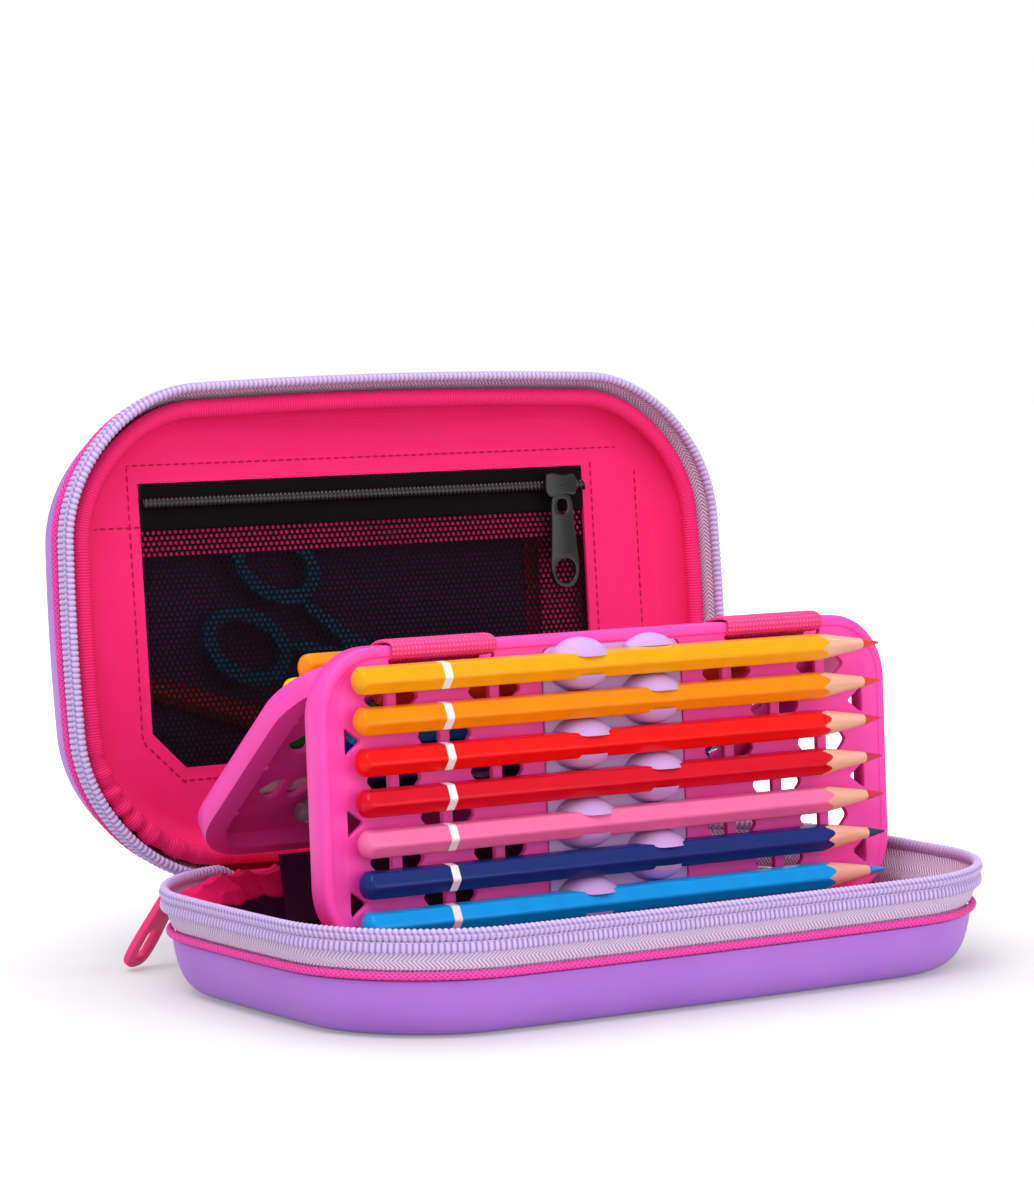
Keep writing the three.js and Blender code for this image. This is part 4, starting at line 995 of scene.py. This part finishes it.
def half_cup(x, y, side, notch, face, axis, half_height, reach, grip, mouth, outward):
    """One part of a cup. The dome is half an ellipsoid. For each x its section runs up the dome from the
    plate to the mouth, then back down the round channel that the pencil lies in."""
    limit = cup_half_width * math.sqrt(1 - ((mouth + 0.9) / half_height) ** 2)
    xs = limit * np.sin(np.linspace(-1, 1, 31) * math.pi / 2)
    scale = np.sqrt(1 - (xs / cup_half_width) ** 2)
    high, deep = half_height * scale, reach * scale
    cut = mouth + notch * np.clip((-xs / limit - 0.35) / 0.65, 0, 1) ** 1.5 * (high - mouth)
    end = np.arccos(np.clip(cut / high, -1, 1))
    rise = np.linspace(0, 1, 12)
    angle = end[:, None] * rise[None, :]
    dome = np.stack([high[:, None] * np.cos(angle), deep[:, None] * np.sin(angle)], -1)
    tip = dome[:, -1]
    away = axis - face if outward > 0 else face - axis
    start = np.arctan2(tip[:, 1] - away, tip[:, 0])
    radius = np.hypot(tip[:, 0], tip[:, 1] - away)
    low = -math.asin(min(1.0, (away - 0.05) / grip)) if away < grip else -math.pi / 2
    sweep = start[:, None] + (low - start[:, None]) * rise[None, 1:]
    size = radius[:, None] + (grip - radius[:, None]) * np.minimum(rise[None, 1:] * 3, 1)
    inner = np.stack([size * np.cos(sweep), np.maximum(away + size * np.sin(sweep), 0.02)], -1)
    inner[..., 0] = np.minimum(inner[..., 0], high[:, None] - 0.05)
    section = np.concatenate([dome, inner], 1)
    return xyz(x + xs[:, None], y + side * section[..., 0], face + outward * section[..., 1])


def strip_cups(form, place, top, drop, pitch, mouth, reach, **cup):
    """Seven cups in two staggered columns, one for each row. The upper half of each stands a little higher,
    and is notched at one end."""
    for row in range(7):
        spot = (-cup_stagger, cup_stagger)[row % 2], top - drop - pitch * row
        form.grid(place(half_cup(*spot, 1, 0.8, mouth=mouth - 0.5, reach=reach + 0.7, **cup)),
                  columns=True, caps=(True, True))
        form.grid(place(half_cup(*spot, -1, 0.0, mouth=mouth, reach=reach, **cup)),
                  columns=True, caps=(True, True))
    return form


pencil_cup = {"face": 6.3, "axis": pencil_axis, "grip": 4.2, "outward": 1}
pen_cup = {"face": 4.7, "axis": pen_axis, "grip": 3.85, "outward": -1, "half_height": 5.4}
plate_thickness, plate_lift = 1.8, np.array([0, 0, 5.5])
for part, top, place in trays:
    outline = rounded_box(45, 73.9, strip_corner, 6) + [0, top - strip_middle]
    plate = place_mesh(slab_curve("plate", outline, [], plate_thickness, 0.35),
                       lambda points, to_tray=place: to_tray(points + plate_lift))
    piece(f"{part}_strip_plate", plate, f"{part}_tray", clip_lilac, f"{part}_clip_strip", 35)
    cups = strip_cups(Form(), place, top, row_drop, row_pitch, 2.7, 8.3, half_height=7.2, **pencil_cup)
    if part == "front":
        spare = half_cup(
            cup_stagger, top - row_drop, 1, 0.0, half_height=7.1, reach=6.0, mouth=3.6, **pencil_cup)
        cups.grid(place(spare), columns=True, caps=(True, True))
    else:
        strip_cups(cups, place, top, pen_drop, pen_pitch, 3.0, 6.0, **pen_cup)
    piece(f"{part}_strip_cups", cups, f"{part}_tray", clip_lilac, sharp=50)


# Pencils
barrel_radius, flat_half, lead_radius = 6.9 / math.sqrt(3), 3.45, 1.5
barrel_length, dip_length, dip_radius = 165.0, 3.6, 4.1
cone_start, cone_length, cone_radius = 146.0, 19, 4.28


def pencil_barrel(roll=0.66):
    """A hexagonal barrel inside a turned envelope. Its radius is the least of the rounded hexagon's, the
    dipped dome's and the sharpened cone's. mark is above 0 where the cone has bared the wood."""
    along = np.concatenate([
        dip_length * (1 - np.cos(np.linspace(0, math.pi / 2, 10))), np.linspace(8, 144.5, 22),
        np.linspace(145.5, 153.5, 34), np.linspace(154.5, barrel_length, 8)])[:, None]
    angle = ring_angles(48) + roll
    local = (angle - roll) % (TAU / 6) - TAU / 12
    hexagon = np.minimum(flat_half / np.cos(local), barrel_radius - 0.12)
    dome = dip_radius * np.sqrt(np.clip(1 - (1 - np.minimum(along / dip_length, 1)) ** 2, 0, 1))
    cone = cone_radius - (cone_radius - lead_radius) * (along - cone_start) / cone_length
    radius = np.minimum(np.minimum(hexagon, dome), cone)
    radius[-1] = lead_radius
    uv = spread(along[:, 0], np.linspace(0, TAU * 4, 49))
    return xyz(along, radius * np.cos(angle), radius * np.sin(angle)), uv, hexagon - cone


def lead_tip(start, length):
    """A cone with a small round point."""
    point, angle, turn = 0.32, ring_angles(24), np.linspace(0.2, math.pi / 2, 6)
    along = np.concatenate([np.linspace(0, length - 0.5, 8), length - 0.5 + 0.5 * np.sin(turn)])[:, None]
    size = np.concatenate([
        lead_radius - (lead_radius - point) * np.linspace(0, 1, 8), point * np.cos(turn)])[:, None]
    return xyz(start + along, size * np.cos(angle), size * np.sin(angle))


front_colours = ["#ffa90e", "#ff8d04", "#f9140f", "#dc0c22", "#fb76ac", "#1b3078", "#06a2f6"]
lead_colours = ["#f03010", "#f03512", "#ee1418", "#d01030", "#e01246", "#16265e", "#189cec"]
rear_colours = ["#ff9210", "#ffcc10", "#8cc42c", "#1f8c44", "#7a4424", "#f1ece6", "#1c191e"]
pen_colours = ["#f0401c", "#3c9a2c", "#2aa4f0", "#2338d0", "#4428ac", "#141218", "#9b8f9c"]
barrel, barrel_uv, barrel_mark = pencil_barrel()
for row, (colour, lead) in enumerate(zip(front_colours, lead_colours)):
    spot = np.array([pencil_start, front_top - row_drop - row_pitch * row, pencil_axis])
    form = capped(front_frame(barrel + spot), barrel_uv, barrel_mark)
    piece(f"front_pencil_{row + 1}", form, "front_tray", lacquered(f"lacquer_front_{row + 1}", colour),
          f"pencil_{row + 1}_barrel", 40)
    tip = capped(front_frame(lead_tip(barrel_length + 0.15, 6.35) + spot))
    piece(f"front_lead_{row + 1}", tip, "front_tray", waxy(f"lead_{row + 1}", lead),
          f"pencil_{row + 1}_core", 50)
turned = np.array([-1, 1, 1])
for row, colour in enumerate(rear_colours):
    spot = np.array([-pencil_start, rear_top - row_drop - row_pitch * row, pencil_axis])
    form = capped(rear_frame(barrel * turned + spot), barrel_uv, barrel_mark)
    tip = rear_frame(lead_tip(barrel_length, 6.4) * turned + spot)
    form.grid(tip, columns=True, caps=(True, True), mark=np.ones(tip.shape[:2]))
    piece(f"stored_pencil_{row + 1}", form, "rear_tray", lacquered(f"lacquer_rear_{row + 1}", colour),
          f"rear_pencil_{row + 1}", 40)


# Fibre pens
def fibre_pen():
    """A turned pen: a round end plug, a step to the barrel, and a wider cap with a step to its crown."""
    profile = np.array([
        [0, 0], [0, 1.6], [0.35, 2.3], [0.9, 2.6], [2.6, 2.6], [2.65, 3.2], [2.95, 3.25], [3.2, 3.25],
        [93.9, 3.25], [94, 3.6], [94.2, 3.6], [126.4, 3.6], [127.2, 3.5], [128, 2.9], [131.4, 2.7],
        [132, 2.2], [132, 0]])
    angle = ring_angles(32)
    points = xyz(profile[:, :1], profile[:, 1:] * np.cos(angle), profile[:, 1:] * np.sin(angle))
    return points, spread(profile[:, 0], np.linspace(0, 20, 33))


pen, pen_uv = fibre_pen()
for row, colour in enumerate(pen_colours):
    spot = np.array([-pen_start, rear_top - pen_drop - pen_pitch * row, pen_axis])
    form = Form().grid(rear_frame(pen * turned + spot), pen_uv, columns=True)
    piece(f"clipped_pen_{row + 1}", form, "rear_tray", pen_plastic(f"pen_{row + 1}", colour),
          f"fibre_pen_{row + 1}", 35)


# Webbing loops through the slots of both trays
def loop_line():
    """The loop's path of y and z: round the front tray's rim, over to the rear one and round it."""
    over = 0.45 + loop_thickness / 2
    out = tray_gap + rim_outer + over
    drop, step = 3.6, 0.3

    def front(up, away):
        return front_frame(np.array([0, front_top + up, away - tray_gap]))[1:]

    def rear(up, away):
        return rear_frame(np.array([0, rear_top + up, away - tray_gap]))[1:]

    corners = [front(-drop, -over), front(-drop, out), front(over, out), front(over, 0),
               rear(over + 1, out), rear(-drop, out), rear(-drop, -over), rear(step, -over)]
    return soften(corners, 2, True)


loop_spacing = 0.6
loop_path, loop_along = even(loop_line(), loop_spacing, True)
loop_side = heading(loop_path, True)[1]
half = loop_width / 2
rim_line = np.vstack([
    [[-half, 0.2], [-half + 0.5, 0.5]], [[x, 0.55] for x in np.linspace(-half + 1.2, half - 1.2, 24)],
    [[half - 0.5, 0.5], [half, 0.2]]])
loop_section = np.vstack([rim_line, rim_line[::-1] * [1, -1]])
loop_uv = spread(np.append(loop_along, loop_along[-1] + loop_spacing), np.append(loop_section[:, 0], -half))
for name, side in (("loop_left", -1), ("loop_right", 1)):
    yz = loop_path[:, None, :] + loop_side[:, None, :] * loop_section[None, :, 1:]
    points = xyz(tray_shift + side * loop_place + loop_section[:, 0], yz[..., 0], yz[..., 1])
    loop = piece(f"webbing_{name}", Form().grid(points, loop_uv, rows=True, columns=True), None,
                 webbing_pink, name, 50)
    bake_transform(loop)

# Binding round the inside of the lid
binding_section = oval(4.3, 35.3, 2.6, 2.1, 18)
binding_section[:, 1] = 2 * meeting_height - binding_section[:, 1]


def ruffles(along, around):
    """Gathers where the binding turns the lid's lower left corner: short waves under a bell of their own."""
    corner, corner_reach, long_wave, short_wave = 34, 24, 7.1, 3.3
    bell = np.exp(-((along - corner) / corner_reach) ** 2)
    wave = np.sin(TAU * along / long_wave + 1.8 * np.sin(along / 6.0) + 0.8 * np.sin(around))
    return bell * (0.55 * wave + 0.25 * np.sin(TAU * along / short_wave + around))


binding = swept(binding_section, 1.0, lid=True, relief=ruffles)
piece("ribbed_binding", binding, "lid", binding_pink, "lid_binding")

# Pocket: its cloth frame, net, zip, slider and pull. Heights are over the closed base
window = np.array([[-79, -42], [70, -42], [70, 27], [60, 37], [-69, 37], [-79, 27]], float)
pocket_face = 43.6
middle = np.array([-4.5, -2.5])


def reach_at(curve, angles):
    """Distance from the middle to a closed curve round it, at the given angles."""
    curve, _ = even(curve, 0.25, True)
    turn = np.arctan2(curve[:, 1] - middle[1], curve[:, 0] - middle[0])
    order = np.argsort(turn)
    return np.interp(angles, turn[order], np.linalg.norm(curve - middle, axis=1)[order], period=TAU)


# The frame's cloth runs from the window to the lining at the same angles about the middle
plan, plan_out, _ = plan_line(1.0, True)
corner_turns = np.arctan2(window[:, 1] - middle[1], window[:, 0] - middle[0])
angles = np.unique(np.concatenate([np.linspace(-math.pi, math.pi, 361)[:-1], corner_turns]))
outer_reach, inner_reach = reach_at(plan - plan_out * 3.9, angles), reach_at(window, angles)
shares = np.append(np.linspace(0, 0.6, 9), np.linspace(0.65, 1, 12))[:, None]
reach = inner_reach[None, :] + (outer_reach - inner_reach)[None, :] * shares
flat = middle + np.stack([reach * np.cos(angles), reach * np.sin(angles)], -1)
rim_slope = 7.2 * np.clip(1 - (outer_reach[None, :] - reach) / 9.5, 0, 1) ** 1.5
puff = 0.5 * np.sin(math.pi * shares) ** 0.7 * (1 + 0.8 * ripple_noise(flat[..., 0], flat[..., 1], 11, 34))
hem = 0.35 * np.exp(-(shares / 0.06) ** 2)
near = raised(flat, pocket_face + 0.35 - puff * 0.6 - hem - rim_slope)
far = raised(flat, pocket_face + 1.0 - rim_slope)
frame_form = Form().grid(closed_lid(np.concatenate([near, far[::-1]])), rows=True, columns=True)
pocket_cloth = piece("pocket_cloth_frame", frame_form, "lid", panel_pink, "pocket_frame", 50)


def inside(points, polygon):
    """True where a point lies inside a convex polygon that runs anticlockwise."""
    kept = np.ones(len(points), bool)
    for a, b in zip(polygon, np.roll(polygon, -1, 0)):
        kept &= (b[0] - a[0]) * (points[:, 1] - a[1]) - (b[1] - a[1]) * (points[:, 0] - a[0]) > 0
    return kept


def honeycomb(pitch, hole_share, thickness):
    """A net of six-sided cells: each is a ring with a sharp outer edge and an open hole."""
    row_share = 0.866
    rows, columns = int(86 / (pitch * row_share)), int(156 / pitch)
    r, c = np.meshgrid(np.arange(rows), np.arange(columns), indexing="ij")
    centres = np.stack([-82 + pitch * (c + 0.5 * (r % 2)), -45 + pitch * row_share * r], -1).reshape(-1, 2)
    grown = middle + (window - middle) * [1 + 2.6 / 74, 1 + 2.4 / 39]
    centres = centres[inside(centres, grown)]
    turn = np.radians(30 + 60 * np.arange(6))
    spoke = np.stack([np.cos(turn), np.sin(turn)], -1)
    rim = pitch / math.sqrt(3)
    rings = []
    hole = rim * hole_share
    for size, height in ((rim * 0.998, 0.0), (hole, -thickness / 2), (hole, thickness / 2)):
        rings.append(raised(centres[:, None, :] + spoke[None] * size, height))
    points = np.stack(rings, 1).reshape(-1, 3)
    points[:, 2] += pocket_face + 1.4 + 0.2 * ripple_noise(points[:, 0], points[:, 1], 21, 60)
    ring = np.arange(6)
    after = (ring + 1) % 6
    quads = np.concatenate([
        np.stack([low * 6 + ring, low * 6 + after, high * 6 + after, high * 6 + ring], -1)
        for low, high in ((0, 2), (2, 1), (1, 0))])
    faces = (quads[None] + 18 * np.arange(len(centres))[:, None, None]).reshape(-1, 4)
    form = Form()
    form._add(closed_lid(points), faces, np.zeros((4 * len(faces), 2)), None)
    return form


net = piece("honeycomb_net", honeycomb(1.75, 0.66, 0.3).mesh("honeycomb_net", smooth=False, face_out=False),
            "lid", mesh_black, "pocket_mesh")

# Painted shade behind the net: a dark plum sheet that stands for the shaded lining seen through it, clear of
# the net's top and right edges
sheet_size, sheet_start = [138, 74], [-84, -31]
spots = spread(np.linspace(0, 1, 60), np.linspace(0, 1, 36)) * sheet_size + sheet_start
near = raised(spots, 53.2 + 1.2 * ripple_noise(spots[..., 0], spots[..., 1], 31, 50))
net_shade_sheet = piece("painted_shade_behind_net", capped(closed_lid(two_faced(near, near + [0, 0, 0.6]))), "lid", backing_shade_plum,
              sharp=50)
for name, (left, last, front_edge, back_edge), height in (
        ("hem_strip", (-80.5, 71.5, -31.5, -21.3), 45.55), ("side_strip", (57.0, 71.5, -21.0, 38.0), 49.6)):
    spots = spread(np.linspace(left, last, 40), np.linspace(front_edge, back_edge, 8))
    near = raised(spots, height + 0.05 * ripple_noise(spots[..., 0], spots[..., 1], 41, 20))
    form = capped(closed_lid(two_faced(near, near + [0, 0, 0.2])))
    strip = piece(f"pocket_{name}", form, "lid", panel_pink, sharp=50)

# Pocket zip: its tape, and a coil of two staggered rows of turns
zip_y, zip_pitch, tape_height, turn_height, turn_radius = -36.5, 1.35, 43.8, 42.6, 1.1
tape_line = soften([
    [-5.2, 0.5], [-5.2, 0.0], [-2.1, 0.0], [-1.9, -0.1], [1.9, -0.1], [2.1, 0.0], [7.3, 0.0], [7.3, 0.5]],
    1, True)
tape_x = np.linspace(-79.4, 70.4, 100)[:, None]
tape_form = capped(closed_lid(xyz(tape_x, zip_y + tape_line[:, 0], tape_height + tape_line[:, 1])))
piece("pocket_black_tape", tape_form, "lid", tape_black, "pocket_zip_tape", 40)
coil_x = np.linspace(-78.4, 69.6, int(149 / zip_pitch) * 7)[:, None]
angle = ring_angles(14)
stagger = 0.5 / (1 + np.exp(-6 * np.cos(angle)))
size = 0.5 + 0.5 * np.abs(np.cos(math.pi * (coil_x / zip_pitch + stagger))) ** 0.6
coil_points = xyz(coil_x + 0.35 * np.cos(angle), zip_y + 1.75 * size * np.cos(angle),
                  turn_height + turn_radius * size * np.sin(angle))
coil_form = capped(closed_lid(coil_points))
piece("pocket_black_coil", coil_form, "lid", zip_black, "pocket_zip_teeth")


def plate_place(height):
    """A flat plate's own x and y on the closed lid at that height."""
    return lambda points: closed_lid(points + [0, 0, height])


# The pocket's slider, the bridge over it and its ring pull
plate_height, bridge_radius, bridge_rise = 40.5, 0.5, 0.65
slider_line = soften([
    [54.5, -3.2], [57, -3.75], [61, -2.6], [64, -3.4], [65.5, -2.4], [65.5, 2.4], [64, 3.4], [61, 2.6],
    [57, 3.75], [54.5, 3.2]], 2, True) + [0, zip_y]
slider_mesh = place_mesh(slab_curve("pocket_slider", slider_line, [], 1.3, 0.4, 3), plate_place(40.45))
piece("enamel_slider", slider_mesh, "pocket_slider", zip_black, "pocket_slider", 40)
bend, tube = np.linspace(0, math.pi, 14)[:, None], ring_angles(10)
bridge_points = xyz(
    57.2 + 5.2 * bend / math.pi, zip_y + 0.6 + bridge_radius * np.cos(tube),
    plate_height - bridge_rise * np.sin(bend) + 0.6 * bridge_radius * np.sin(tube))
piece("slider_bridge", capped(closed_lid(bridge_points)), "pocket_slider", zip_black)
pull_at = np.array([60, zip_y + 3.75 + 0.3])
pull_outline = soften([
    [-2.8, -1.6], [2.8, -1.6], [4.0, 2], [3.9, 6], [4.6, 15], [5.2, 21], [3.4, 25.4], [0, 26.4],
    [-3.4, 25.4], [-5.2, 21], [-4.6, 15], [-3.9, 6], [-4.0, 2]], 2, True) + pull_at
big_hole = oval(0, 21.2, 3.6, 3.6, 32) + pull_at
small_hole = soften([[-2.0, 0.2], [2.0, 0.2], [1.4, 4.6], [-1.4, 4.6]], 2, True) + pull_at
pull_mesh = place_mesh(
    slab_curve("pocket_pull", pull_outline, [big_hole, small_hole], 1.1, 0.35, 3), plate_place(plate_height))
piece("enamel_ring_pull", pull_mesh, "pocket_pull", zip_black, "pocket_pull", 40)


# Stitching round the pocket's frame; the thread's dark red is partly its own colour and partly painted shade
# of the grooves it sinks into
def stitches(form, path, height):
    """Small thread stitches along a line on the closed lid, each a stretched ball half sunk in the cloth."""
    pitch, length, thread_width, thread_height = 2.6, 1.9, 0.24, 0.2
    spots, _ = even(path, pitch)
    ahead, side = heading(spots)
    u, v = np.linspace(-1, 1, 5)[:, None], ring_angles(6)
    size = np.sqrt(1 - (0.94 * u) ** 2)
    local = xyz(length / 2 * u, thread_width * size * np.cos(v), thread_height * size * np.sin(v))
    xy = (spots[:, None, None, :] + ahead[:, None, None, :] * local[..., :1]
          - side[:, None, None, :] * local[..., 1:2])
    for stitch in raised(xy, height - local[..., 2]):
        form.grid(closed_lid(stitch), columns=True, caps=(True, True))


seams = [
    [[-90, -47.0], [90, -47.0]], [[-82.2, -46], [-82.2, 29], [-70, 40.6]],
    [[73.2, -42], [73.2, 29], [62, 40.6]], [[-70, 40.5], [60, 40.5]], [[-96, -30], [-80, -30]],
    [[89, -42], [89, 20]]]
thread = Form()
for seam_line in seams:
    stitches(thread, seam_line, pocket_face - 0.02)
piece("frame_stitching", thread, "lid", thread_pink)

# What lies in the pocket keeps its solids, with finishes of its own
marker_red = moulded("red_glitter_plastic", "#c8243a", "#8e1626", 0.25, 1.4, 0.08, Coat_Weight=0.5)
for name, material in (
        ("scissors_half_a", scissor_teal), ("scissors_half_b", scissor_teal), ("red_marker", marker_red)):
    node = bpy.data.objects[name]
    node.data.materials.clear()
    node.data.materials.append(material)

# Floor, lights and world
floor = Finish("white_floor", "#ffffff", 0.9)
floor.shader.inputs["Base Color"].default_value = (0.62, 0.62, 0.62, 1)
glow = floor.nodes.new("ShaderNodeEmission")
glow.inputs["Color"].default_value = (1, 1, 1, 1)
paths = floor.nodes.new("ShaderNodeLightPath")
glossy, through = paths.outputs["Is Glossy Ray"], paths.outputs["Is Transmission Ray"]
seen = floor.calc("MAXIMUM", paths.outputs["Is Camera Ray"], floor.calc("MAXIMUM", glossy, through))
# The floor's glow for camera, glossy and transmission rays is painted light: 0.24 within 0.13 m of its middle,
# full at 0.45 m, so the floor round the case is painted darker where its shadow falls
spot = floor.nodes.new("ShaderNodeVectorMath")
spot.operation = "LENGTH"
floor.links.new(floor.place(), spot.inputs[0])
away = floor.nodes.new("ShaderNodeMapRange")
for key, value in (("From Min", 0.13), ("From Max", 0.45), ("To Min", 0.24), ("To Max", 1.0)):
    away.inputs[key].default_value = value
floor.links.new(spot.outputs["Value"], away.inputs["Value"])
floor.links.new(floor.calc("MULTIPLY", seen, away.outputs["Result"]), glow.inputs["Strength"])
both = floor.nodes.new("ShaderNodeAddShader")
output = floor.nodes["Material Output"]
floor.links.new(floor.shader.outputs[0], both.inputs[0])
floor.links.new(glow.outputs[0], both.inputs[1])
floor.links.new(both.outputs[0], output.inputs["Surface"])
ground_mesh = bpy.data.meshes.new("floor")
ground_mesh.from_pydata([(-3, -3, 0), (3, -3, 0), (3, 3, 0), (-3, 3, 0)], [], [(0, 1, 2, 3)])
ground_mesh.materials.append(floor.material)
ground = bpy.data.objects.new("floor", ground_mesh)
bpy.context.scene.collection.objects.link(ground)

world = bpy.data.worlds.new("studio")
bpy.context.scene.world = world
world.use_nodes = True
sky = world.node_tree.nodes["Background"]
sky.inputs["Color"].default_value = (1, 1, 1, 1)
paths = world.node_tree.nodes.new("ShaderNodeLightPath")
seen = world.node_tree.nodes.new("ShaderNodeMath")
seen.operation = "MAXIMUM"
world.node_tree.links.new(paths.outputs["Is Camera Ray"], seen.inputs[0])
world.node_tree.links.new(paths.outputs["Is Transmission Ray"], seen.inputs[1])
level = world.node_tree.nodes.new("ShaderNodeMath")
level.operation = "MULTIPLY_ADD"
level.inputs[1].default_value, level.inputs[2].default_value = 0.36, 0.64
world.node_tree.links.new(seen.outputs[0], level.inputs[0])
world.node_tree.links.new(level.outputs[0], sky.inputs["Strength"])


def lamp(name, place, aim_at, size, watts):
    """A soft square lamp that faces a point."""
    light = bpy.data.lights.new(name, "AREA")
    light.size, light.energy = size, watts
    holder = bpy.data.objects.new(name, light)
    holder.location = place
    holder.rotation_euler = (Vector(aim_at) - Vector(place)).to_track_quat("-Z", "Y").to_euler()
    bpy.context.scene.collection.objects.link(holder)


lamp("key_lamp", (-0.8, -0.6, 1.2), (0, 0, 0.06), 0.8, 9)
lamp("fill_lamp", (0.3, -1.4, 0.3), (0, 0, 0.06), 1.2, 8)
lamp("top_lamp", (0.0, 0.3, 1.35), (0, 0, 0.05), 1.2, 7)

bpy.context.scene.view_settings.view_transform = "Standard"
